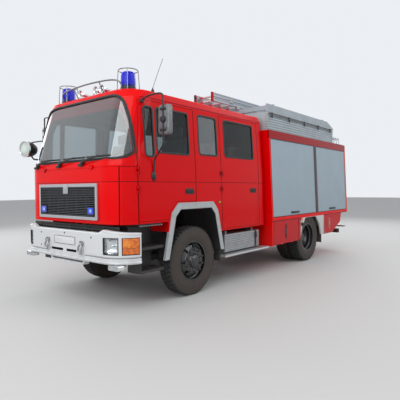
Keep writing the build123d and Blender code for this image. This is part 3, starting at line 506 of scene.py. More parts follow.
def rounded_sheet(width, height, corner):
    """A flat face with rounded corners."""
    flat = bmesh.new()
    bmesh.ops.create_grid(flat, x_segments=1, y_segments=1, size=0.5)
    bmesh.ops.scale(flat, vec=(width, height, 1), verts=flat.verts[:])
    bevel(flat, flat.verts[:], corner, 6, "VERTICES")
    return flat


def plate(shape, width, height, corner, depth, place, ease=0.0015, frame=0.0):
    """Add a flat plate with rounded corners, or a frame of that width, with its front edge eased."""
    flat = rounded_sheet(width, height, corner)
    if frame:
        inner = flat.faces[:]
        bmesh.ops.inset_region(flat, faces=inner, thickness=frame, use_boundary=True, use_even_offset=True)
        bmesh.ops.delete(flat, geom=inner, context="FACES_ONLY")
    tops = set(corners_in(bmesh.ops.extrude_face_region(flat, geom=flat.faces[:])["geom"]))
    bmesh.ops.translate(flat, vec=(0, 0, depth), verts=list(tops))
    flat.normal_update()
    rim = [e for e in flat.edges if set(e.verts) <= tops and len(e.link_faces) == 2
           and abs(abs(e.link_faces[0].normal.z) - abs(e.link_faces[1].normal.z)) > 0.5]
    bevel(flat, rim, ease)
    add(shape, flat, place)


def on_side(across, station, height, lean=0.0):
    """The place of a flat shape on the left side, its upper edge leaning in."""
    return Matrix(((0, -lean, 1, across), (1, 0, 0, station - nose), (0, 1, 0, height), (0, 0, 0, 1)))


def side_at(height):
    """How far out the cab's side is at a height, below and above its waist."""
    return 1.118 - window_lean * (height - 1.87) if height > 1.87 else 1.118 + 0.02474 * (1.87 - height)


windows = {doors[0]: ((0.690, 1.350, 2.045, 2.650), (0.478, 0.650, 1.985, 2.640)),
           doors[1]: ((2.200, 3.072, 2.068, 2.665),), "middle": ((1.560, 2.020, 2.068, 2.665),)}
for side, sign in sides:
    for panel, openings in windows.items():
        rubber = bmesh.new()
        for front, rear, low, high in openings:
            level = (low + high) / 2
            place = on_side(side_at(level) - 0.009, (front + rear) / 2, level, window_lean)
            plate(rubber, rear - front + 0.014, high - low + 0.014, 0.060, 0.014, place, 0.003, 0.026)
        piece("window_rubber_" + panel + side, rubber, window_rubber, sign,
              panel + side if panel != "middle" else "chassis")

# Window panes: toughened float glass, faintly green, held by their rubbers, with a thin film of
# dust. The fixed panes shine more than those of the doors.
for name, tint, gloss, coat, index, dusty, covered in (
    ("window_glass", (0.46, 0.54, 0.57), 0.005, 1.0, 1.6, (0.60, 0.63, 0.62), ["cab_glass"]),
    ("door_glass", (0.36, 0.42, 0.43), 0.002, 0.0, 1.3, (0.50, 0.54, 0.53),
     [door + "glass_" + side for door in doors for side, _ in sides]),
):
    glass = Material(name, tint, gloss, Transmission_Weight=1.0, IOR=index, Coat_Weight=coat,
                     Coat_Roughness=0.01)
    dirt_and_sheen = glass.noise(5) * 0.05
    glass.drive("Roughness", dirt_and_sheen + gloss)
    glass.paint(tint, (dirt_and_sheen * 4, dusty))
    glass.cover(*covered)

# Door handles: a cup moulded of black plastic and let into the door's sheet, with a lever across it
# and a lock cylinder at its rear end.
handle_plastic = Material("handle_plastic", (0.014, 0.014, 0.015), 0.42, "black_plastic")
handle_plastic.drive("Roughness", handle_plastic.noise(40) * 0.25 + 0.32)
handle_plastic.grain(0.0003, 600, 2)
handle_level, handle_length, door_lean = 1.530, 0.190, -0.0247


def at(across, station, height):
    """A point given by its station, which is measured from the bumper's face towards the rear."""
    return Vector((across, station - nose, height))


for side, sign in sides:
    for door, station in zip(doors, (1.318, 3.020)):
        handle = bmesh.new()
        face = side_at(handle_level)
        for shorter, tall, corner, depth, out, ahead, up, ease, frame in (
                (0, 0.082, 0.035, 0.005, 0, 0, 0, 0.002, 0),
                (0.018, 0.064, 0.026, 0.004, 0.004, 0, 0, 0.002, 0.008),
                (0.050, 0.030, 0.013, 0.014, 0.005, 0.012, 0.008, 0.006, 0)):
            plate(handle, handle_length - shorter, tall, corner, depth,
                  on_side(face + out, station - ahead, handle_level + up, door_lean), ease, frame)
        lock = station + handle_length / 2 - 0.020
        round_bar(handle, at(face, lock, 1.524), at(face + 0.014, lock, 1.524), 0.011, edge=0.002)
        piece(door + side + "_handle", handle, handle_plastic, sign, door + side)

# Side markers: amber lenses in black rubber feet, behind the front arch and ahead of the rear one,
# with the fuel filler's black cap beside the rear one.
amber_lens = Material("amber_lens", (0.9, 0.25, 0.01), 0.15, "lamp_lens", Coat_Weight=0.6)
x, y, z = amber_lens.axes()
ribs = amber_lens.ribs(y, 0.006)
amber_lens.paint((0.85, 0.20, 0.01), (ribs * 0.5, (1.0, 0.42, 0.03)))
amber_lens.bump(ribs, 0.001)
body_face = 1.250
for side, sign in sides:
    for name, station, height, face, width, tall, lens_width in (
            ("front", 2.018, 1.355, side_at(1.355), 0.075, 0.036, 0.062),
            ("rear", 4.690, 0.925, body_face, 0.094, 0.048, 0.078)):
        foot, lens = blanks(2)
        plate(foot, width, tall, 0.010, 0.008, on_side(face, station, height), 0.002)
        plate(lens, lens_width, tall - 0.010, 0.007, 0.016, on_side(face, station, height), 0.005)
        piece(name + "_marker_foot_" + side, foot, window_rubber, sign)
        piece(name + "_marker_lens_" + side, lens, amber_lens, sign)
filler = bmesh.new()
for near, far, radius, end_radius, segments, edge in ((0, 0.016, 0.040, None, 24, 0.005),
                                                      (0.016, 0.038, 0.027, 0.023, 8, 0.003)):
    round_bar(filler, at(body_face + near, 4.700, 0.822), at(body_face + far, 4.700, 0.822), radius, end_radius,
              segments, edge)
piece("filler_cap", filler, handle_plastic)

# Radiator grille: a silver painted frame, black moulded slats whose front edges are painted lighter, fainter
# lighter lines down the bars, a silver tab at the top, and two blue flashers behind ribbed lenses in black
# bezels.
grille_paint = Material("grille_paint", (0.5, 0.5, 0.5), 0.35, "silver_trim")
x, y, z = grille_paint.axes()
frame_half, frame_foot, frame_top, slat_pitch, bar_pitch = 0.652, 1.215, 1.604, 0.02271, 0.0455
behind_tab = (abs(x) < 0.060) * (z > 1.508) * (y < -3.640)
frame_mask = ((abs(x) > frame_half) + (z > frame_top) + (z < frame_foot) + behind_tab) > 0.5
row_line = grille_paint.line((z - frame_foot - 0.002) / slat_pitch % 1.0, 0.5, 0.12) * (y < -3.636)
column_line = grille_paint.line(x / bar_pitch % 1.0, 0.5, 0.08) * (y < -3.632)
speck = grille_paint.noise(90)
grille_paint.paint((0.008, 0.009, 0.012), (row_line * 0.7, (0.13, 0.14, 0.16)),
                   (column_line * 0.35, (0.10, 0.11, 0.13)), (frame_mask, (0.50, 0.52, 0.54)),
                   (frame_mask * speck * 0.3, (0.34, 0.35, 0.36)))
grille_paint.drive("Metallic", frame_mask * 0.45)
grille_paint.drive("Roughness", speck * 0.2 + 0.25)
grille_paint.bump(speck, 0.0003)
grille_paint.cover("grille")


def on_front(across, station, height):
    """The place of a flat shape on the front, facing forwards."""
    return Matrix(((1, 0, 0, across), (0, 0, -1, station - nose), (0, 1, 0, height), (0, 0, 0, 1)))


tab = bmesh.new()
plate(tab, 0.112, 0.128, 0.010, 0.009, on_front(0, 0.0305, 1.576), 0.003)
piece("grille_tab", tab, grille_paint, body="front_flap")
blue_lens = Material("blue_lens", (0.0, 0.03, 0.75), 0.12, "lamp_lens", Coat_Weight=0.6)
x, y, z = blue_lens.axes()
flasher_x, flasher_z = 0.560, 1.292
ribs = blue_lens.ribs(z, 0.009)
# painted highlight: a pale spot painted in the middle of each flasher lens
core_highlight = 1 - blue_lens.step(blue_lens.distance(abs(x) - flasher_x, z - flasher_z), 0.012, 0.030)
blue_lens.paint((0.0, 0.035, 0.70), (ribs * 0.35, (0.0, 0.10, 0.95)), (core_highlight * 0.8, (0.45, 0.72, 1.0)))
blue_lens.bump(ribs, 0.0012)
for side, sign in sides:
    bezel, lens = blanks(2)
    plate(bezel, 0.142, 0.106, 0.014, 0.007, on_front(flasher_x, 0.0310, flasher_z), 0.002, 0.012)
    plate(lens, 0.120, 0.084, 0.010, 0.005, on_front(flasher_x, 0.0300, flasher_z), 0.003)
    piece("flasher_bezel_" + side, bezel, handle_plastic, sign, "front_flap")
    piece("flasher_lens_" + side, lens, blue_lens, sign, "front_flap")

# Silver trims round the front arches: pressed aluminium under silver paint, fixed to the cab along
# the edge of the arch and dulled by road dirt.
silver_trim = Material("silver_trim", (0.44, 0.47, 0.48), 0.42, Metallic=0.25)
dirt_and_sheen = silver_trim.patches(0.35, 0.75, 7, 4)
silver_trim.paint((0.46, 0.49, 0.50), (dirt_and_sheen * 0.45, (0.30, 0.31, 0.30)))
silver_trim.drive("Roughness", dirt_and_sheen * 0.25 + 0.32)
silver_trim.grain(0.0003, 80, 2)
silver_trim.cover("arch_trims")

# Bumper: a folded steel beam under white enamel, its shoulders raised over the lamps, with the lamp
# windows, cooling slots and step frame cut and welded in, and chipped along its lower edge.
white_enamel = Material("white_enamel", (0.66, 0.67, 0.68), 0.3, "white_paint", Coat_Weight=0.3,
                        Coat_Roughness=0.08)
x, y, z = white_enamel.axes()
grime = (1 - white_enamel.step(z, 0.60, 0.80)) * white_enamel.patches(0.3, 0.8, 9, 4)
chips = white_enamel.patches(0.70, 0.74, 55, 4) * (1 - white_enamel.step(z, 0.60, 0.90))
# painted shade: a dark line painted along the groove in the bumper's face
groove = white_enamel.line(z, 0.7175, 0.007) * (abs(x) > 0.45)
white_enamel.paint((0.66, 0.68, 0.70), (grime * 0.6, (0.34, 0.32, 0.29)), (groove * 0.8, (0.12, 0.12, 0.12)),
                   (chips, (0.10, 0.06, 0.04)))
white_enamel.drive("Roughness", grime * 0.4 + 0.26)
white_enamel.bump(white_enamel.noise(60, 2) - chips, 0.0004)
bumper_centre, bumper_bend = (0.825, 0.380 - nose), 0.380
bumper_end, shoulder_start, sheet = 1.1989, 0.82, 0.006


def bumper_line(across, inset=0.0):
    """A point of the bumper's plan, seen from above: straight in front, bent round at the ends."""
    if abs(across) <= bumper_centre[0]:
        return Vector((across, inset - nose, 0))
    out = math.asin(min(1.0, (abs(across) - bumper_centre[0]) / bumper_bend))
    reach = bumper_bend - inset
    return Vector((math.copysign(bumper_centre[0] + reach * math.sin(out), across),
                   bumper_centre[1] - reach * math.cos(out), 0))


def shoulder(across):
    """How much higher the bumper is over a lamp, less towards its end."""
    return 0.044 - 0.11 * max(0, abs(across) - shoulder_start)


def bent_bar(shape, points, radius, closed=False):
    """Add a round bar along a smooth line through the neighbourhood of its points."""
    line = bpy.data.curves.new("bar", "CURVE")
    line.dimensions, line.bevel_depth, line.bevel_resolution, line.use_fill_caps = "3D", radius, 3, True
    spline = line.splines.new("NURBS")
    spline.points.add(len(points) - 1)
    for point, place in zip(spline.points, points):
        point.co = (*at(*place), 1)
    spline.order_u, spline.use_endpoint_u, spline.use_cyclic_u, spline.resolution_u = 3, not closed, closed, 5
    holder = bpy.data.objects.new("bar", line)
    tube = bpy.data.meshes.new_from_object(holder)
    shape.from_mesh(tube)
    bmesh.ops.remove_doubles(shape, verts=shape.verts[:], dist=0.00005)
    bpy.data.objects.remove(holder)
    bpy.data.curves.remove(line)
    bpy.data.meshes.remove(tube)


half_columns = (0.040, 0.190, 0.335, 0.560, 0.740, 0.790, 0.835, 0.890, 0.945, 1.000, 1.050, 1.080, 1.108, 1.136,
                1.163, 1.183, 1.1957, bumper_end)
columns = [-c for c in reversed(half_columns)] + list(half_columns)
rows = (0.640, 0.652, 0.708, 0.721, 0.736, 0.757, 0.770, 0.972, 0.985, 1.012, 1.024)
lowest, groove_row, shoulder_row, highest = 0, 3, 7, len(rows) - 1
window_foot, window_top, headlamp_window, indicator_start = 0.757, 0.972, (0.835, 1.050), 1.082
slot_foot, slot_top, slot_span = 0.736, 0.770, (0.030, 0.335)
beam = bmesh.new()
bmesh.ops.create_grid(beam, x_segments=len(columns) - 1, y_segments=len(rows) - 1, size=0.5)
for corner in beam.verts:
    across = columns[round((corner.co.x + 0.5) * (len(columns) - 1))]
    row = round((corner.co.y + 0.5) * (len(rows) - 1))
    raised = (min(1, max(0, (abs(across) - 0.742) / 0.08)) * max(0, (row - shoulder_row) / 3)
              * shoulder(across))
    drawn_in = row in (lowest, groove_row) and abs(across) > 0.4 or row == highest
    corner.co = bumper_line(across, 0.012 if drawn_in else 0.0)
    corner.co.z = rows[row] + raised
openings = []
for face in beam.faces:
    middle = face.calc_center_median()
    out = abs(middle.x)
    headlamp = headlamp_window[0] < out < headlamp_window[1]
    indicator = out > indicator_start and middle.y < -3.390
    slot = slot_foot < middle.z < slot_top and slot_span[0] < out < slot_span[1]
    if slot or window_foot < middle.z < window_top and (headlamp or indicator):
        openings.append(face)
bmesh.ops.delete(beam, geom=openings, context="FACES")
for row, inward, out in ((highest, 0.055, 0.004), (lowest, 0.040, -0.004)):
    lip = []
    for edge in beam.edges:
        first, second = (v.co for v in edge.verts)
        on_rim = all(abs(co.z - rows[row]) < 0.062 and (co.z > 1.0 or co.z < 0.65) for co in (first, second))
        level = abs(first.z - second.z) < 0.059
        if edge.is_boundary and on_rim and level and (first - second).xy.length > 0.004:
            lip.append(edge)
    for corner in corners_in(bmesh.ops.extrude_edge_only(beam, edges=lip)["geom"]):
        height = corner.co.z
        corner.co = bumper_line(math.copysign(min(abs(corner.co.x) + 0.004, bumper_end), corner.co.x), inward)
        corner.co.z = height + out
bmesh.ops.recalc_face_normals(beam, faces=beam.faces[:])
beam.normal_update()
for corner in corners_in(bmesh.ops.extrude_face_region(beam, geom=beam.faces[:], use_keep_orig=True)["geom"]):
    corner.co -= corner.normal * sheet
ends = [[a for a in columns if a * sign > 0.81] for _, sign in sides]
for spans, upper, radius in ((columns, False, 0.019), (ends[0], True, 0.017), (ends[1], True, 0.017)):
    roll = [(*(bumper_line(a, 0.010).xy + Vector((0, nose))),
             1.010 + shoulder(a) if upper else 0.663) for a in spans]
    bent_bar(beam, roll, radius)
piece("bumper_beam", beam, white_enamel, instead_of="bumper", sharp=35)
step_frame, plugs = blanks(2)
plate(step_frame, 0.800, 0.128, 0.040, 0.085, on_front(0, 0.112, 0.640), 0.006, 0.030)
for _, sign in sides:
    round_bar(step_frame, (sign * 0.520, -3.640, 0.800), (sign * 0.520, -3.300, 0.800), 0.045, segments=4)
piece("bumper_step", step_frame, white_enamel)
for across, height in ((0, 0.984), (-0.600, 0.958), (0.600, 0.958), (-0.600, 0.778)):
    round_bar(plugs, (across, -3.672, height), (across, -3.6775, height), 0.014, 0.012, 20, 0.0015)
piece("bumper_plugs", plugs, handle_plastic)

# Number plates: pressed aluminium sheet under white enamel, left blank, in a black plastic edging,
# each held by two screws.
number_white = Material("number_plate_white", (0.74, 0.75, 0.76), 0.35, "white_paint")
scuffs = number_white.noise(40, 4)
number_white.paint((0.74, 0.75, 0.76), (scuffs * 0.25, (0.56, 0.56, 0.55)))
number_white.bump(scuffs, 0.0003)
number_width, number_height = 0.500, 0.108


def on_rear(across, station, height):
    """The place of a flat shape that faces the rear."""
    return Matrix(((-1, 0, 0, across), (0, 0, 1, station - nose), (0, 1, 0, height), (0, 0, 0, 1)))


for name, place in (("front_number", on_front(0, -0.001, 0.884)), ("rear_number", on_rear(0, 7.322, 1.140))):
    blank, edging, heads = blanks(3)
    plate(blank, number_width - 0.008, number_height - 0.010, 0.008, 0.003, place, 0.001)
    plate(edging, number_width, number_height, 0.012, 0.0045, place, 0.001, 0.005)
    for across in (-0.150, 0.150):
        round_bar(heads, place @ Vector((across, 0, 0.001)), place @ Vector((across, 0, 0.0045)), 0.006,
                  0.005, 12)
    piece(name, blank, number_white)
    piece(name + "_edging", edging, handle_plastic)
    piece(name + "_screws", heads, nut_steel)

# Tow shackles: forged ears on the bumper's face, a cross pin and the bow that hangs from it,
# all zinc plated and scratched.
pin_station, pin_height = -0.014, 0.868
bow = [(-0.022, -0.030, 0.850), (-0.036, -0.040, 0.800), (-0.030, -0.036, 0.752)]
for side, sign in sides:
    shackle = bmesh.new()
    for across in (0.381, 0.423):
        plate(shackle, 0.014, 0.060, 0.006, 0.024, on_front(across, 0.001, 0.870), 0.003)
    for near, far, radius, segments in ((0.362, 0.442, 0.012, 16), (0.442, 0.450, 0.019, 6)):
        round_bar(shackle, at(near, pin_station, pin_height), at(far, pin_station, pin_height), radius,
                  segments=segments, edge=0.002)
    half = [(0, pin_station, pin_height)] + bow
    loop = (half + [(0, -0.030, 0.728)]
            + [(-across, station, height) for across, station, height in reversed(half)])
    bent_bar(shackle, [(0.402 + across, station, height) for across, station, height in loop], 0.012)
    piece("shackle_" + side, shackle, nut_steel, sign)

# Headlamps: a drawn and chromed reflector with a bulb behind a ribbed glass, in a bezel moulded of
# black plastic that stands in the bumper's window.
chrome = Material("chrome", (0.80, 0.81, 0.82), 0.08, "bright_metal", Metallic=1.0)
haze = chrome.noise(30, 3)
chrome.paint((0.80, 0.81, 0.82), (haze * 0.3, (0.60, 0.61, 0.62)))
chrome.drive("Roughness", haze * 0.15 + 0.14)
chrome.grain(0.0002, 8, 1)
clear_lens = Material("clear_lens", (0.92, 0.94, 0.95), 0.03, "lamp_lens", Transmission_Weight=1.0, IOR=1.3)
x, y, z = clear_lens.axes()
flutes = clear_lens.ribs(x, 0.011)
clear_lens.paint((0.92, 0.94, 0.95), (flutes * 0.2, (0.80, 0.83, 0.85)))
clear_lens.bump(flutes, 0.0008, 0.6)
lamp_piece = functools.partial(piece, instead_of="lamps")
lamp_width, lamp_height, bezel_depth = 0.226, 0.216, 0.034


def moved(place, across, out):
    """A flat shape's place, moved along its plane and out of it."""
    return place @ Matrix.Translation((across, 0, out))


for side, sign in sides:
    swing = Matrix.Rotation(math.atan2(0.0738, 0.215), 4, "Z")
    middle = Matrix.Translation(at(0.9425, 0.0369, 0.8645)) @ swing @ on_front(0, nose, 0)
    bezel, pan, glass = blanks(3)
    plate(bezel, lamp_width, lamp_height, 0.032, bezel_depth, moved(middle, 0, -bezel_depth), 0.003, 0.013)
    bowl = rounded_sheet(lamp_width - 0.022, lamp_height - 0.022, 0.018)
    for narrower, deeper in ((0.92, 0.018), (0.86, 0.014), (0.78, 0.010), (0.60, 0.005)):
        bowl.faces.ensure_lookup_table()
        bottom = bowl.faces[-1]
        inner = corners_in(bmesh.ops.extrude_face_region(bowl, geom=[bottom])["geom"])
        if bottom.is_valid:
            bmesh.ops.delete(bowl, geom=[bottom], context="FACES_ONLY")
        bmesh.ops.scale(bowl, vec=(narrower, narrower, 1), verts=inner)
        bmesh.ops.translate(bowl, vec=(0, 0, -deeper), verts=inner)
        bowl.faces.sort(key=lambda f: -f.calc_center_median().z)
    add(pan, bowl, moved(middle, 0, -0.024))
    round_bar(pan, middle @ Vector((0, 0, -0.066)), middle @ Vector((0, 0, -0.030)), 0.013, 0.010, 16, 0.003)
    plate(glass, lamp_width - 0.024, lamp_height - 0.024, 0.022, 0.004, moved(middle, 0, -0.020), 0.001)
    lamp_piece("headlamp_bezel_" + side, bezel, handle_plastic, sign)
    lamp_piece("headlamp_reflector_" + side, pan, chrome, sign)
    lamp_piece("headlamp_glass_" + side, glass, clear_lens, sign)

# Indicators: two amber lamps under one moulded plastic lens that wraps the bumper's bend, set on a
# black rubber gasket.
indicator_amber = Material("indicator_amber", (0.85, 0.2, 0.01), 0.14, "lamp_lens", Coat_Weight=0.6)
x, y, z = indicator_amber.axes()
cells = indicator_amber.ribs(z, 0.010)
# painted light: a lighter glow painted on the lens over each bulb, the lamps being unlit
bulbs = ((z - 0.895) * (z - 0.895) + (y + 3.52) * (y + 3.52) * 0.7).root()
painted_bulb_glow = 1 - indicator_amber.step(bulbs, 0.015, 0.050)
seam = indicator_amber.line(z, 0.842, 0.003)
blotch = indicator_amber.patches(0.42, 0.62, 28, 3)
indicator_amber.paint((0.55, 0.085, 0.002), (blotch * 0.8, (0.85, 0.22, 0.006)),
                      (cells * 0.25, (0.90, 0.26, 0.01)), (painted_bulb_glow * 0.35, (0.95, 0.42, 0.05)),
                      (seam, (0.25, 0.04, 0.005)))
indicator_amber.bump(cells - seam * 2, 0.0012)


def bent_lens(shape, near, far, low, high, inset, thick, ease):
    """Add a lens or gasket that follows the bumper's bend between two angles in degrees."""
    near, far = math.radians(near), math.radians(far)
    profile = bmesh.new()
    for corner in bmesh.ops.create_grid(profile, x_segments=1, y_segments=1, size=0.5)["verts"]:
        reach = bumper_bend - inset - thick * (0.5 - corner.co.x)
        corner.co = (bumper_centre[0] + reach * math.sin(near), bumper_centre[1] - reach * math.cos(near),
                     low + (high - low) * (corner.co.y + 0.5))
    bmesh.ops.spin(profile, geom=everything(profile), cent=(*bumper_centre, 0), axis=(0, 0, 1), angle=far - near,
                   steps=10)
    bmesh.ops.recalc_face_normals(profile, faces=profile.faces[:])
    bevel(profile, [e for e in profile.edges if len(e.link_faces) == 2 and e.calc_face_angle(0) > 1.2], ease, 3)
    add(shape, profile)


for side, sign in sides:
    lens, gasket = blanks(2)
    bent_lens(gasket, 42.6, 77.2, 0.760, 0.970, 0.010, 0.024, 0.002)
    bent_lens(lens, 43.8, 76.4, 0.767, 0.963, 0.002, 0.020, 0.006)
    lamp_piece("indicator_gasket_" + side, gasket, handle_plastic, sign)
    lamp_piece("indicator_lens_" + side, lens, indicator_amber, sign)

# Fog lamps: pressed and chromed steel bodies with fluted glasses, hung under the bumper by one bolt
# each.
fog_x, fog_z, fog_size = 1.000, 0.604, (0.196, 0.064, 0.016)
for side, sign in sides:
    body, glass = blanks(2)
    plate(body, *fog_size, 0.090, on_front(fog_x, 0.126, fog_z), 0.008)
    plate(body, *fog_size, 0.010, on_front(fog_x, 0.036, fog_z), 0.003, 0.008)
    plate(glass, 0.178, 0.048, 0.012, 0.004, on_front(fog_x, 0.034, fog_z), 0.001)
    round_bar(body, at(fog_x, 0.075, fog_z + 0.030), at(fog_x, 0.075, fog_z + 0.051), 0.012, edge=0.002)
    lamp_piece("fog_lamp_body_" + side, body, chrome, sign)
    lamp_piece("fog_lamp_glass_" + side, glass, clear_lens, sign)

# Rear lamp clusters: three lenses moulded of amber, red and white plastic, in a black moulding that
# is screwed to the body's rear on each side.
rear_lens = Material("rear_lens", (0.55, 0.01, 0.01), 0.15, "lamp_lens", Coat_Weight=0.6)
x, y, z = rear_lens.axes()
cells = rear_lens.ribs(x, 0.008)
rear_lens.paint((0.55, 0.008, 0.008), (abs(x) > 1.112, (0.85, 0.20, 0.01)), (abs(x) < 1.006, (0.75, 0.76, 0.78)),
                (cells * 0.2, (0.9, 0.5, 0.4)))
rear_lens.bump(cells, 0.001)
for side, sign in sides:
    tray, lenses = blanks(2)
    behind = on_rear(1.060, 7.330, 0.991)
    plate(tray, 0.250, 0.076, 0.012, 0.012, behind, 0.003)
    for across in (-0.078, 0, 0.078):
        plate(lenses, 0.072, 0.060, 0.008, 0.014, moved(behind, across, 0.008), 0.004)
    lamp_piece("rear_lamp_tray_" + side, tray, handle_plastic, sign)
    lamp_piece("rear_lamp_lenses_" + side, lenses, rear_lens, sign)

# Beacons: domes moulded of blue plastic, on black rubber feet screwed to the cab's roof, each in a
# guard of bent and welded wire.
beacon_x, beacon_station, guard_reach, guard_top = 0.705, 0.560, 0.134, 3.160
beacon_blue = Material("beacon_blue", (0.0, 0.01, 0.6), 0.22, "lamp_lens", Coat_Weight=0.15,
                       Specular_IOR_Level=0.25, Emission_Strength=0.05)
x, y, z = beacon_blue.axes()
around = beacon_blue.node("ShaderNodeMath", {"operation": "ARCTAN2"}, y + (nose - beacon_station),
                          abs(x) - beacon_x)
prisms = abs(around * 7.64 % 1.0 - 0.5) * 2
band = 1 - beacon_blue.step(z, 2.950, 2.975)
beacon_blue.paint((0.0, 0.004, 0.50), (prisms * 0.3, (0.0, 0.015, 0.75)), (band * 0.85, (0.0, 0.0, 0.06)))
beacon_blue.drive("Emission Color", beacon_blue.mix(band, (0.0, 0.01, 0.9), (0.0, 0.0, 0.02)))
beacon_blue.bump(prisms, 0.002, 0.6)
guard_wire = Material("guard_wire", (0.20, 0.21, 0.22), 0.3, "bright_metal", Metallic=0.9)
worn = guard_wire.noise(50)
guard_wire.paint((0.10, 0.105, 0.11), (worn * 0.8, (0.42, 0.43, 0.45)))
guard_wire.drive("Roughness", worn * 0.2 + 0.22)
guard_wire.bump(worn, 0.0002)
fitting = functools.partial(piece, instead_of="cab_fittings")


def turned_round(shape, outline, centre, axis=(0, 0, 1), steps=28):
    """Add a form turned about an axis, from points of (radius, distance along the axis)."""
    form = bmesh.new()
    line = [form.verts.new((radius, 0, along)) for radius, along in outline]
    edges = [form.edges.new(pair) for pair in zip(line, line[1:])]
    bmesh.ops.spin(form, geom=line + edges, cent=(0, 0, 0), axis=(0, 0, 1), angle=2 * math.pi, steps=steps,
                   use_merge=True)
    bmesh.ops.remove_doubles(form, verts=form.verts[:], dist=0.0001)
    place = Vector(axis).to_track_quat("Z", "Y").to_matrix().to_4x4()
    add(shape, form, Matrix.Translation(at(*centre)) @ place)


def round_beacon(across, reach, out, height):
    return across + reach * math.cos(out), beacon_station + reach * math.sin(out), height


for side, sign in sides:
    dome, foot, guard = blanks(3)
    across = sign * beacon_x
    turned_round(dome, [(0.0, 2.931), (0.104, 2.931), (0.103, 3.010), (0.099, 3.080), (0.095, 3.110),
                        (0.086, 3.130), (0.064, 3.142), (0.030, 3.146), (0.0, 3.147)],
                 (across, beacon_station, 0), steps=36)
    turned_round(foot, [(0.0, 2.850), (0.114, 2.850), (0.114, 2.905), (0.108, 2.913), (0.108, 2.926),
                        (0.104, 2.931), (0.0, 2.931)], (across, beacon_station, 0), steps=36)
    bent_bar(guard, [round_beacon(across, guard_reach, i * math.pi / 8, guard_top) for i in range(16)], 0.0065,
             closed=True)
    for i in range(4):
        out = math.radians(45 + 90 * i)
        low = 2.815 if math.sin(out) < 0 else 2.88
        bent_bar(guard, [round_beacon(across, reach, out, height) for reach, height in
                         ((0.152, low), (0.148, 2.930), (0.140, 3.060), (guard_reach, guard_top - 0.005))],
                 0.006)
    lamp_piece("beacon_dome_" + side, dome, beacon_blue)
    fitting("beacon_foot_" + side, foot, handle_plastic)
    fitting("beacon_guard_" + side, guard, guard_wire)

# Roof rail, air horns and aerial: a bent steel tube across the roof's front edge, three spun and
# chromed trumpets on red drivers, and a whip on a rubber foot.
rail, horns, drivers, aerial = blanks(4)
half_rail = [(0.690, 0.470, 2.900), (0.690, 0.466, 2.950), (0.670, 0.430, 3.012), (0.560, 0.395, 3.036),
             (0.300, 0.384, 3.052)]
bent_bar(rail, [(-across, station, height) for across, station, height in half_rail] + [(0, 0.380, 3.058)]
         + half_rail[::-1], 0.011)
for across in (-0.300, 0.300):
    bent_bar(rail, [(across, 0.384, 3.050), (across, 0.430, 2.960), (across, 0.470, 2.900)], 0.008)
fitting("roof_rail", rail, guard_wire)
horn_mouth, horn_height = 0.400, 2.953
for across, reach in ((0.190, 0.250), (0.330, 0.330), (-0.170, 0.300)):
    turned_round(horns, [(0.050, 0.002), (0.061, 0.0), (0.060, 0.004), (0.047, 0.016), (0.034, 0.040),
                         (0.026, 0.070), (0.018, reach * 0.55), (0.013, reach - 0.060)],
                 (across, horn_mouth, horn_height), (0, 1, 0))
    turned_round(drivers, [(0.0, -0.070), (0.038, -0.070), (0.046, -0.062), (0.046, -0.006), (0.038, 0.0),
                           (0.0, 0.0)], (across, horn_mouth + reach, horn_height), (0, 1, 0))
    foot = horn_mouth + reach - 0.030
    round_bar(drivers, at(across, foot, 2.925), at(across, foot, 2.895), 0.014, edge=0.002)
fitting("air_horns", horns, chrome)
fitting("horn_drivers", drivers, fire_red)
turned_round(aerial, [(0.0, 2.84), (0.024, 2.84), (0.022, 2.915), (0.010, 2.932), (0.007, 2.950), (0.0, 2.950)],
             (0.905, 0.820, 0), steps=20)
bent_bar(aerial, [(0.905, 0.820, 2.940), (0.905, 0.880, 3.080), (0.905, 0.950, 3.235), (0.905, 1.022, 3.388)],
         0.0035)
fitting("aerial", aerial, handle_plastic)

# Windscreen rubber and wipers: a broad moulding that laps the sheet all round the screen, and three
# wipers with sprung arms parked along its foot.
cab_levels = ((0.900, 0.062, 1.142, 0.360), (1.870, 0.048, 1.118, 0.360), (2.760, 0.300, 1.062, 0.340),
              (2.860, 0.335, 1.010, 0.330), (2.905, 0.430, 0.880, 0.300))
screen_end_station, screen_half_width = 0.318, 1.078


def cab_skin(across, height):
    """From rows of (height, station of the front, half width, bend of the corner): the station of the cab's
    front at a height, or how far out the screen's end is there where across is None."""
    for low, high in zip(cab_levels, cab_levels[1:]):
        if low[0] <= height <= high[0]:
            share = (height - low[0]) / (high[0] - low[0])
            front, half, bend = (a + (b - a) * share for a, b in zip(low[1:], high[1:]))
    if across is None:
        drop = max(0.0, front + bend - screen_end_station)
        return min(screen_half_width, half - bend + math.sqrt(bend * bend - drop * drop))
    out = max(0.0, abs(across) - (half - bend))
    return front + bend - math.sqrt(max(0.0, bend * bend - out * out))


low, high, bend, middle = 1.955, 2.792, 0.130, 2.3
shares = (0.15, 0.4, 0.65, 0.9)
rounding = [(share, low + bend * share * share) for share in shares]
rounding += [(1, height) for height in (2.10, 2.22, 2.34, 2.46, 2.56, 2.65)]
rounding += [(share, high - bend * share * share) for share in reversed(shares)]
left_edge = [(cab_skin(None, height) - bend * (1 - share) ** 2 * 1.1, height) for share, height in rounding]
outline = [(across, low) for across in (-0.85, -0.6, -0.3, 0, 0.3, 0.6, 0.85)] + left_edge
outline += ([(across, high) for across in (0.6, 0.3, 0, -0.3, -0.6)]
            + [(-a, h) for a, h in reversed(left_edge)])
rubber, wipers = blanks(2)
for spread, radius in ((0.0, 0.013), (0.012, 0.011)):
    loop = [(a * (1 + spread), h + math.copysign(spread, h - middle)) for a, h in outline]
    bent_bar(rubber, [(a, cab_skin(a, h), h) for a, h in loop], radius, closed=True)
fitting("screen_rubber", rubber, window_rubber)
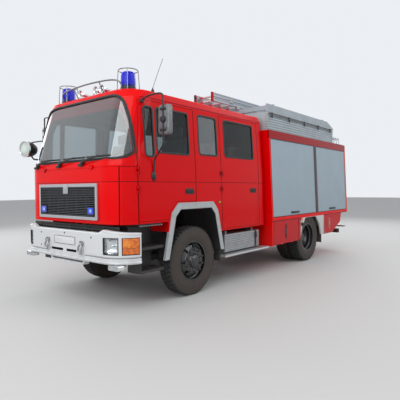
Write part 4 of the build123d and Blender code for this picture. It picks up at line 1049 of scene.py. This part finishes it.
for across in (-0.740, -0.150, 0.380):
    round_bar(wipers, at(across, 0.100, 1.912), at(across, 0.020, 1.912), 0.030, 0.026, edge=0.004)
    plate(wipers, 0.090, 0.034, 0.010, 0.034, on_front(across - 0.030, 0.052, 1.888), 0.006)
    bent_bar(wipers, [(across + along, station, height) for along, station, height in
                      ((0, 0.022, 1.914), (0.05, 0.018, 1.935), (0.200, 0.024, 1.968),
                       (0.330, 0.032, 1.984))], 0.011)
    blade = across + 0.330
    plate(wipers, 0.500, 0.022, 0.004, 0.012, on_front(blade, 0.052, 1.984), 0.003)
    plate(wipers, 0.260, 0.010, 0.003, 0.010, on_front(blade, 0.042, 1.990), 0.002)
    plate(wipers, 0.040, 0.026, 0.006, 0.016, on_front(blade - 0.005, 0.046, 1.986), 0.003)
fitting("wipers", wipers, window_rubber)

# Searchlight: a black spun housing with a chromed rim and ribbed glass, on a bent bracket
# from the right front corner of the cab.
lamp_at, lamp_turn = (-1.135, 0.119, 2.198), math.radians(10)
lamp_axis = (math.sin(lamp_turn), -math.cos(lamp_turn), 0)
housing, rim, glass = blanks(3)
reflector = [(0.108, 0.070), (0.095, 0.045), (0.070, 0.020), (0.040, 0.0), (0.020, -0.008), (0.020, 0.020),
             (0.0, 0.026)]
for shape, outline, steps in (
        (housing, [(0.0, -0.128), (0.040, -0.124), (0.072, -0.104), (0.098, -0.062), (0.114, -0.010),
                   (0.121, 0.026), (0.121, 0.064)], 36),
        (rim, [(0.106, 0.078), (0.112, 0.086), (0.121, 0.088), (0.125, 0.080), (0.125, 0.062),
               (0.120, 0.060)], 36),
        (glass, [(0.110, 0.072), (0.090, 0.082), (0.050, 0.088), (0.0, 0.090)], 36), (rim, reflector, 28)):
    turned_round(shape, outline, lamp_at, lamp_axis, steps)
bent_bar(housing, [(-1.135, 0.150, 2.120), (-1.125, 0.170, 2.060), (-1.100, 0.200, 2.040),
                   (-1.000, 0.270, 2.040)],
         0.012)
bent_bar(housing, [(-1.135, 0.150, 2.300), (-1.100, 0.200, 2.325), (-0.985, 0.275, 2.330)], 0.010)
search_glass = Material("search_glass", (0.60, 0.68, 0.62), 0.12, "lamp_lens", Coat_Weight=0.8)
x, y, z = search_glass.axes()
flutes = search_glass.ribs(x, 0.014)
# painted highlight: a pale spot painted in the middle of the glass
centre_highlight = 1 - search_glass.step(search_glass.distance(x + 1.12, z - lamp_at[2]), 0.02, 0.10)
search_glass.paint((0.42, 0.50, 0.46), (flutes * 0.4, (0.66, 0.74, 0.68)), (centre_highlight * 0.5, (0.85, 0.92, 0.84)))
search_glass.bump(flutes, 0.001)
fitting("searchlight_housing", housing, handle_plastic)
fitting("searchlight_rim", rim, chrome)
fitting("searchlight_glass", glass, search_glass)

# Mirrors: a tall glass in a grey moulded shell with a black adjusting knob, clamped to a tubular arm
# between two feet on the door.
mirror_black = Material("mirror_black", (0.12, 0.12, 0.125), 0.22, "black_plastic", Coat_Weight=0.5)
dirt_and_sheen = mirror_black.noise(14, 4)
# painted reflection: lighter mottled patches over the shell's dark grey
mirror_black.paint((0.10, 0.105, 0.11), (mirror_black.step(dirt_and_sheen, 0.35, 0.65) * 0.45, (0.24, 0.25, 0.26)))
mirror_black.drive("Roughness", dirt_and_sheen * 0.3 + 0.15)
mirror_black.grain(0.0002, 400, 2)
mirror_x, mirror_z, mirror_width, mirror_height, mirror_corner = 1.385, 2.430, 0.190, 0.370, 0.045
for side, sign in sides:
    shells, arm, glasses = blanks(3)
    outer = mirror_width, mirror_height, mirror_corner
    plate(shells, *outer, 0.068, on_front(mirror_x, 0.598, mirror_z), 0.018)
    plate(shells, *outer, 0.005, on_rear(mirror_x, 0.596, mirror_z), 0.002, 0.010)
    plate(glasses, mirror_width - 0.022, mirror_height - 0.022, mirror_corner - 0.010, 0.003,
          on_rear(mirror_x, 0.597, mirror_z), 0.0005)
    bent_bar(arm, [(1.030, 0.470, 2.690), (1.100, 0.470, 2.718), (1.180, 0.470, 2.744), (1.320, 0.505, 2.758),
                   (1.365, 0.520, 2.752), (mirror_x, 0.530, 2.730), (mirror_x, 0.530, 2.680),
                   (mirror_x, 0.528, 2.400), (mirror_x, 0.530, 2.200), (1.380, 0.533, 2.120),
                   (1.320, 0.552, 2.070), (1.190, 0.592, 1.985), (1.150, 0.606, 1.950), (1.138, 0.608, 1.900),
                   (1.130, 0.608, 1.745)], 0.011)
    round_bar(arm, at(mirror_x, 0.505, mirror_z), at(mirror_x, 0.543, mirror_z), 0.040, 0.048, edge=0.008)
    for height in (2.560, 2.300):
        plate(arm, 0.090, 0.030, 0.008, 0.026, on_front(mirror_x, 0.538, height), 0.004)
    lower_foot = Matrix.Translation(at(1.124, 0.608, 1.735)) @ Matrix.Diagonal((0.6, 0.85, 1.35, 1))
    bmesh.ops.create_uvsphere(arm, u_segments=24, v_segments=14, radius=0.048, matrix=lower_foot)
    round_bar(arm, at(1.062, 0.470, 2.690), at(1.086, 0.470, 2.700), 0.030, 0.026, edge=0.004)
    for name, shape, finish in (("shells_", shells, mirror_black), ("arm_", arm, handle_plastic),
                                ("glasses_", glasses, chrome)):
        piece("mirror_" + name + side, shape, finish, sign, "front_door_" + side, "mirror_" + side)

# Seats: grey ribbed cloth over moulded foam on black pedestals, a crew bench behind them. Each cushion
# is a crowned block whose seams are pressed in, and the backs lean with the frames.
seat_fabric = Material("seat_fabric", (0.13, 0.135, 0.14), 0.95)
x, y, z = seat_fabric.axes()
weave = seat_fabric.noise(260, 2)
worn = seat_fabric.patches(0.45, 0.8, 5, 2)
stripe = seat_fabric.line(x / 0.045 % 1.0, 0.5, 0.14)
seat_fabric.paint((0.24, 0.245, 0.25), (weave * 0.5, (0.15, 0.152, 0.16)), (stripe * 0.4, (0.11, 0.112, 0.12)),
                  (worn * 0.4, (0.32, 0.32, 0.32)))
seat_fabric.bump(weave + stripe * -2, 0.0012)
seat_piece = functools.partial(piece, instead_of="seats")
seat_x, seam_depth = 0.620, 0.012


def on_top(across, station, height, lean=0):
    """The place of a flat shape that faces up, or leans back by that many degrees from there."""
    return Matrix.Translation(at(across, station, height)) @ Matrix.Rotation(math.radians(lean), 4, "X")


def cushion(name, size, place, crown, ribs):
    """A foam cushion: crowned, its ribs pressed in by seams, its corners round, one subdivision deep."""
    shape = bmesh.new()
    width, long, thick = size
    cuts = max(8, int(width / 0.045))
    bmesh.ops.create_grid(shape, x_segments=cuts, y_segments=10, size=0.5)
    for corner in shape.verts:
        a, b = corner.co.x * 2, corner.co.y * 2
        fall = (1 - a ** 6) * (1 - b ** 6)
        corner.co = (corner.co.x * width, corner.co.y * long,
                     thick * 0.5 + crown * (1 - 0.5 * a * a - 0.5 * b * b) * fall)
    channels = [e for e in shape.edges if abs(e.verts[0].co.x - e.verts[1].co.x) < 1e-5
                and abs(abs(e.verts[0].co.x) - ribs * width / 2) < width / cuts / 2]
    for corner in {v for e in channels for v in e.verts}:
        corner.co.z -= seam_depth
    for corner in corners_in(bmesh.ops.extrude_face_region(shape, geom=shape.faces[:])["geom"]):
        corner.co = (corner.co.x * 0.98, corner.co.y * 0.98, -thick * 0.5)
    bmesh.ops.recalc_face_normals(shape, faces=shape.faces[:])
    rims = [e for e in shape.edges if len(e.link_faces) == 2 and e.calc_face_angle(0) > 0.9]
    bevel(shape, rims, min(0.030, thick * 0.3), 3)
    bmesh.ops.transform(shape, matrix=place, verts=shape.verts[:])
    made = seat_piece(name, shape, seat_fabric, sharp=60)
    smooth = made.modifiers.new("round", "SUBSURF")
    smooth.levels = smooth.render_levels = 1


for side, sign in sides:
    pedestal = bmesh.new()
    plate(pedestal, 0.36, 0.44, 0.03, 0.140, on_top(seat_x, 1.220, 1.420), 0.012)
    for foot, rest in ((0.350, 0.345), (0.890, 0.895)):
        bent_bar(pedestal, [(foot, 1.030, 1.585), (rest, 1.200, 1.600), (rest, 1.420, 1.640),
                            (rest, 1.500, 1.700)],
                 0.014)
    for across in (0.580, 0.660):
        bent_bar(pedestal, [(across, 1.575, 2.300), (across, 1.580, 2.360), (across, 1.582, 2.420)], 0.007)
    seat_piece("seat_pedestal_" + side, pedestal, handle_plastic, sign)
    middle = sign * seat_x
    cushion("seat_cushion_" + side, (0.50, 0.54, 0.128), on_top(middle, 1.200, 1.624), 0.022, 0.5)
    cushion("seat_back_" + side, (0.48, 0.64, 0.110), on_top(middle, 1.515, 2.010, 81), 0.020, 0.5)
    cushion("seat_headrest_" + side, (0.26, 0.17, 0.088), on_top(middle, 1.582, 2.432, 84), 0.012, 0.0)
base = bmesh.new()
plate(base, 1.920, 0.400, 0.02, 0.340, on_top(0, 3.040, 1.020), 0.010)
seat_piece("bench_base", base, handle_plastic)
for number, across in enumerate((-0.735, -0.245, 0.245, 0.735), 1):
    cushion("bench_cushion_%d" % number, (0.484, 0.450, 0.100), on_top(across, 2.985, 1.414), 0.020, 0.5)
    cushion("bench_back_%d" % number, (0.484, 0.590, 0.090), on_top(across, 3.243, 1.785, 86), 0.018, 0.5)

# Dashboard and steering wheel: moulded plastic with a fine grain, a panel seam along the fascia's
# face and three round dials, and a foamed grip over the wheel's steel rim.
dash_plastic = Material("dash_plastic", (0.03, 0.031, 0.033), 0.65)
x, y, z = dash_plastic.axes()
dials = sum(dash_plastic.line(dash_plastic.distance(x - across, z - 1.930), 0.036, 0.004)
            for across in (0.520, 0.620, 0.720))
panel = dash_plastic.line(z, 1.860, 0.003)
dash_plastic.paint((0.03, 0.031, 0.033), (dash_plastic.noise(7) * 0.4, (0.055, 0.056, 0.06)),
                   (dials, (0.5, 0.5, 0.5)), (panel, (0.008, 0.008, 0.008)))
dash_plastic.bump(dash_plastic.noise(420, 2) - panel * 3, 0.0005)
dash_plastic.cover("dashboard")
wheel_grip = Material("wheel_grip", (0.02, 0.02, 0.021), 0.5)
wheel_grip.drive("Roughness", wheel_grip.noise(18) * 0.35 + 0.3)
wheel_grip.grain(0.0003, 700, 2)
wheel_grip.cover("steering_wheel")

# Slotted panel and step treads: a folded black panel with rows of slots over a dark back, under the
# front flap, and zinc plated bars welded across the entry steps.
panel_height = 0.985
moulded = bmesh.new()
for row in range(4):
    plate(moulded, 1.520, 0.026, 0.006, 0.014, on_front(0, 0.094, 0.922 + row * 0.044), 0.003)
for across in (-0.740, -0.380, 0, 0.380, 0.740):
    plate(moulded, 0.026, 0.190, 0.004, 0.020, on_front(across, 0.104, panel_height), 0.003)
plate(moulded, 2.000, 0.230, 0.010, 0.006, on_front(0, 0.136, panel_height), 0.002)
piece("slotted_panel", moulded, handle_plastic)
for side, sign in sides:
    treads = bmesh.new()
    for height in (0.496, 0.796, 1.090):
        for i in range(9):
            plate(treads, 0.244, 0.014, 0.003, 0.016, on_top(1.008, 0.380 + 0.045 * i, height), 0.003)
    piece("step_treads_" + side, treads, nut_steel, sign)

# Side boxes: ribbed aluminium lockers under the crew doors, closed by a black strap with an
# over-centre latch, above an anodised tread step worn bright along its edge.
box_aluminium = Material("box_aluminium", (0.52, 0.54, 0.56), 0.36, Metallic=0.55)
x, y, z = box_aluminium.axes()
on_step = z < 0.520
# painted shade: the grooves between the ribs are painted darker
rib = box_aluminium.line(z / 0.0287 % 1.0, 0.5, 0.20) * (1 - on_step)
edge = box_aluminium.step(abs(x), 1.165, 1.198) * on_step
dirt = box_aluminium.patches(0.35, 0.8, 8, 4)
lozenge = box_aluminium.tread_plate(x, y, 0.036) * on_step * (z > 0.500)
box_aluminium.paint((0.46, 0.48, 0.50), (rib * 0.75, (0.17, 0.18, 0.19)), (dirt * 0.4, (0.26, 0.25, 0.24)),
                    (lozenge * 0.5, (0.66, 0.67, 0.68)), (edge * 0.6, (0.72, 0.73, 0.74)))
box_aluminium.drive("Roughness", dirt * 0.3 + 0.3)
box_aluminium.bump(lozenge * 2 - rib * 2, 0.0014)
box_aluminium.cover("side_boxes")
strap_station = 3.130
for side, sign in sides:
    straps = bmesh.new()
    plate(straps, 0.034, 0.280, 0.004, 0.006, on_side(1.103, strap_station, 0.680), 0.002)
    plate(straps, 0.050, 0.090, 0.008, 0.016, on_side(1.104, strap_station, 0.740), 0.004)
    round_bar(straps, at(1.118, strap_station - 0.030, 0.700), at(1.118, strap_station + 0.030, 0.700), 0.007,
              edge=0.001)
    piece("box_straps_" + side, straps, handle_plastic, sign)

# Roller shutters: interlocking hollow aluminium slats, anodised, whose joints are so fine that they
# show as faint lines, with black latch bars at their feet.
shutter_alloy = Material("shutter_alloy", (0.34, 0.42, 0.48), 0.32, Metallic=0.25)
x, y, z = shutter_alloy.axes()
slat = z / 0.0345 % 1.0
joint = shutter_alloy.line(slat, 0.5, 0.10)
soil = shutter_alloy.noise(2.5, 4)
shutter_alloy.paint((0.34, 0.43, 0.49), (soil * 0.35, (0.27, 0.33, 0.37)), (joint * 0.30, (0.16, 0.20, 0.23)))
shutter_alloy.drive("Roughness", soil * 0.25 + 0.25)
shutter_alloy.bump((abs(slat - 0.5) * -1) - joint, 0.0016)
shutter_alloy.cover("shutters")
bar_height = 1.083
for side, sign in sides:
    bars = bmesh.new()
    for front, rear in ((4.249, 4.604), (6.183, 6.557)):
        middle = (front + rear) / 2
        plate(bars, rear - front, 0.040, 0.008, 0.014, on_side(1.238, middle, bar_height), 0.004)
        plate(bars, 0.110, 0.026, 0.006, 0.024, on_side(1.240, middle, bar_height), 0.005)
    piece("shutter_latches_" + side, bars, handle_plastic, sign)

# Locker latches: bright plated steel frames screwed to the flaps at their upper and lower ends, with
# a pressed handle in the slot.
for side, sign in sides:
    for flap, station, height, tall in zip(flaps, (4.008, 6.165), (0.735, 0.740), (0.300, 0.240)):
        latch = bmesh.new()
        plate(latch, 0.070, tall, 0.008, 0.004, on_side(body_face, station, height), 0.0015, 0.014)
        for screw in (height + tall / 2 - 0.012, height - tall / 2 + 0.012):
            round_bar(latch, at(body_face, station, screw), at(body_face + 0.008, station, screw), 0.005,
                      segments=12)
        plate(latch, 0.022, 0.090, 0.008, 0.010, on_side(body_face - 0.002, station, height), 0.003)
        piece(flap + side + "_latch", latch, nut_steel, sign, flap + side)

# Roof gallery: walls of ribbed aluminium sheet with a double rail on black hooks, white
# rollers at the rear, a tread plate front and cross bars for the ladder.
gallery_alloy = Material("gallery_alloy", (0.46, 0.52, 0.55), 0.4, Metallic=0.3)
x, y, z = gallery_alloy.axes()
wall_top, wall_inside, deck_height, sheet_rib, rail_rib = 2.978, 1.10, 2.70, 0.045, 0.0285
at_side = abs(x) > wall_inside
wall = at_side * (z < wall_top)
# painted shade: dark lines along the walls' ribs and in the grooves between the rails' ribs
rib = gallery_alloy.step(abs((z - 2.660) / sheet_rib % 1.0 - 0.5), 0.24, 0.34) * wall
groove = gallery_alloy.line(z / rail_rib % 1.0, 0.5, 0.14) * at_side * (z > wall_top)
chequer = gallery_alloy.tread_plate(x, z, 0.040) * (y < -0.180)
deck = gallery_alloy.tread_plate(x, y, 0.040) * (z < deck_height) * (1 - wall)
age = gallery_alloy.patches(0.3, 0.8, 4, 5)
gallery_alloy.paint((0.42, 0.48, 0.51), (rib * 0.55, (0.16, 0.19, 0.21)), (groove * 0.7, (0.14, 0.16, 0.18)),
                    (age * 0.25, (0.30, 0.32, 0.33)), (chequer * 0.5, (0.62, 0.64, 0.65)),
                    (deck * 0.5, (0.62, 0.63, 0.64)))
gallery_alloy.drive("Roughness", age * 0.3 + 0.3)
gallery_alloy.bump(chequer + deck - groove, 0.0012)
gallery_alloy.cover("roof_gallery")
for side, sign in sides:
    rails, rollers, hooks = blanks(3)
    rail_x, roller_height = 1.188, 2.790
    for height in (2.952, 2.914):
        round_bar(rails, at(rail_x, 3.482, height), at(rail_x, 6.500, height), 0.009, segments=16, edge=0.003)
    for i in range(5):
        station = 3.584 + 0.690 * i
        plate(hooks, 0.030, 0.100, 0.006, 0.012, on_side(1.190, station, 2.910), 0.003)
        plate(hooks, 0.030, 0.012, 0.004, 0.034, on_side(1.166, station, 2.960), 0.003)
        round_bar(hooks, at(1.200, station, 2.880), at(1.208, station, 2.880), 0.007, segments=6, edge=0.001)
    for station in (6.760, 6.910, 7.060):
        round_bar(rollers, at(1.015, station, roller_height), at(1.125, station, roller_height), 0.030,
                  edge=0.006)
        for across in (1.006, 1.128):
            plate(rollers, 0.050, 0.160, 0.010, 0.006, on_side(across, station, 2.722), 0.001)
    piece("gallery_rails_" + side, rails, guard_wire, sign)
    piece("gallery_hooks_" + side, hooks, handle_plastic, sign)
    piece("gallery_rollers_" + side, rollers, white_enamel, sign)

# Ladder: two sections of pulled aluminium rail, one lying on the other, with round rungs banded red
# and white, red end caps, and plated pawls and feet.
ladder_alloy = Material("ladder_alloy", (0.50, 0.55, 0.60), 0.32, "aluminium", Metallic=0.5)
x, y, z = ladder_alloy.axes()
flute = 1 - ladder_alloy.step(abs((z - 3.186) / 0.084 % 1.0 - 0.46), 0.16, 0.22)
streak = ladder_alloy.noise(9, 4, (1, 0.05, 1))
ladder_alloy.paint((0.44, 0.49, 0.54), (flute * 0.5, (0.26, 0.30, 0.35)), (streak * 0.3, (0.32, 0.34, 0.36)))
ladder_alloy.drive("Roughness", streak * 0.25 + 0.24)
ladder_alloy.bump(flute * -1 + streak * 0.2, 0.001)
rung_paint = Material("rung_paint", (0.75, 0.75, 0.75), 0.4, "white_paint")
x, y, z = rung_paint.axes()
rung_paint.paint((0.70, 0.70, 0.70), (abs(x - 0.144) > 0.120, (0.62, 0.02, 0.02)),
                 (rung_paint.noise(40) * 0.3, (0.40, 0.36, 0.34)))
rung_paint.bump(rung_paint.line(x / 0.008 % 1.0, 0.5, 0.3), 0.0006)
ladder_piece = functools.partial(piece, instead_of="ladder")
rail_places, rail_length, rung_pitch = (-0.060, 0.347), 4.000, 0.288
pawl_station, pawl_height, foot_stations = 3.480, 3.268, (3.700, 6.000)
for name, low, high in (("lower", 3.186, 3.262), ("upper", 3.270, 3.346)):
    rails, rungs, caps = blanks(3)
    level = (low + high) / 2
    for across in rail_places:
        for foot, top, wide in ((low, high, 0.020), (low, low + 0.020, 0.030), (high - 0.020, high, 0.030)):
            plate(rails, rail_length, top - foot, 0.004, wide,
                  on_side(across - wide / 2, 4.890, (foot + top) / 2), 0.003)
        for end in (2.880, 6.900):
            plate(caps, 0.044, high - low + 0.006, 0.008, 0.034, on_side(across - 0.017, end, level), 0.004)
    for i in range(14):
        station = 3.020 + i * rung_pitch
        round_bar(rungs, at(rail_places[0], station, level), at(rail_places[1], station, level), 0.021,
                  segments=20)
    ladder_piece("ladder_rails_" + name, rails, ladder_alloy)
    ladder_piece("ladder_rungs_" + name, rungs, rung_paint)
    ladder_piece("ladder_caps_" + name, caps, fire_red)
pawl = bmesh.new()
for across in (-0.080, 0.367):
    plate(pawl, 0.110, 0.100, 0.012, 0.010, on_side(across - 0.005, pawl_station, pawl_height), 0.003)
    for height in (pawl_height - 0.028, pawl_height + 0.028):
        round_bar(pawl, at(across - 0.012, pawl_station, height), at(across + 0.012, pawl_station, height),
                  0.016, edge=0.003)
    plate(pawl, 0.070, 0.130, 0.012, 0.010, on_side(across - 0.005, foot_stations[1], 3.262), 0.003)
for station in foot_stations:
    for across in rail_places:
        plate(pawl, 0.070, 0.090, 0.010, 0.046, on_top(across, station, 3.140), 0.005)
ladder_piece("ladder_pawls", pawl, nut_steel)

# Rear step, roof ladder and towing jaw: a folded steel step on two brackets, a ladder welded of
# round aluminium tube, and a cast jaw with its drop pin.
step, tubes, jaw = blanks(3)
step_width, step_height, jaw_height = 2.360, 0.560, 0.800
plate(step, step_width, 0.080, 0.012, 0.040, on_top(0, 7.372, step_height), 0.006)
for across in (-0.800, 0.800):
    plate(step, 0.060, 0.120, 0.010, 0.060, on_top(across, 7.300, step_height), 0.004)
tube_station, tube_places = 7.382, (-1.140, -0.880)
for across in tube_places:
    for line in (((7.332, 2.600), (tube_station, 2.640), (tube_station, 2.300), (tube_station, 1.400),
                  (tube_station, 1.180), (7.340, 1.130)),
                 ((tube_station, 2.560), (7.378, 2.740), (7.320, 2.770), (7.260, 2.700), (7.250, 2.640))):
        bent_bar(tubes, [(across, station, height) for station, height in line], 0.012)
for i in range(6):
    height = 1.220 + 0.250 * i
    round_bar(tubes, at(tube_places[0], tube_station, height), at(tube_places[1], tube_station, height), 0.011,
              segments=16)
plate(jaw, 0.160, 0.140, 0.020, 0.030, on_rear(0, 7.330, jaw_height), 0.004)
for height in (jaw_height + 0.030, jaw_height - 0.030):
    plate(jaw, 0.100, 0.075, 0.020, 0.018, on_top(0, 7.385, height - 0.009), 0.004)
round_bar(jaw, at(0, 7.390, 0.735), at(0, 7.390, 0.880), 0.014, edge=0.003)
piece("rear_step", step, nut_steel)
piece("rear_roof_ladder", tubes, ladder_alloy)
piece("towing_jaw", jaw, chassis_black)
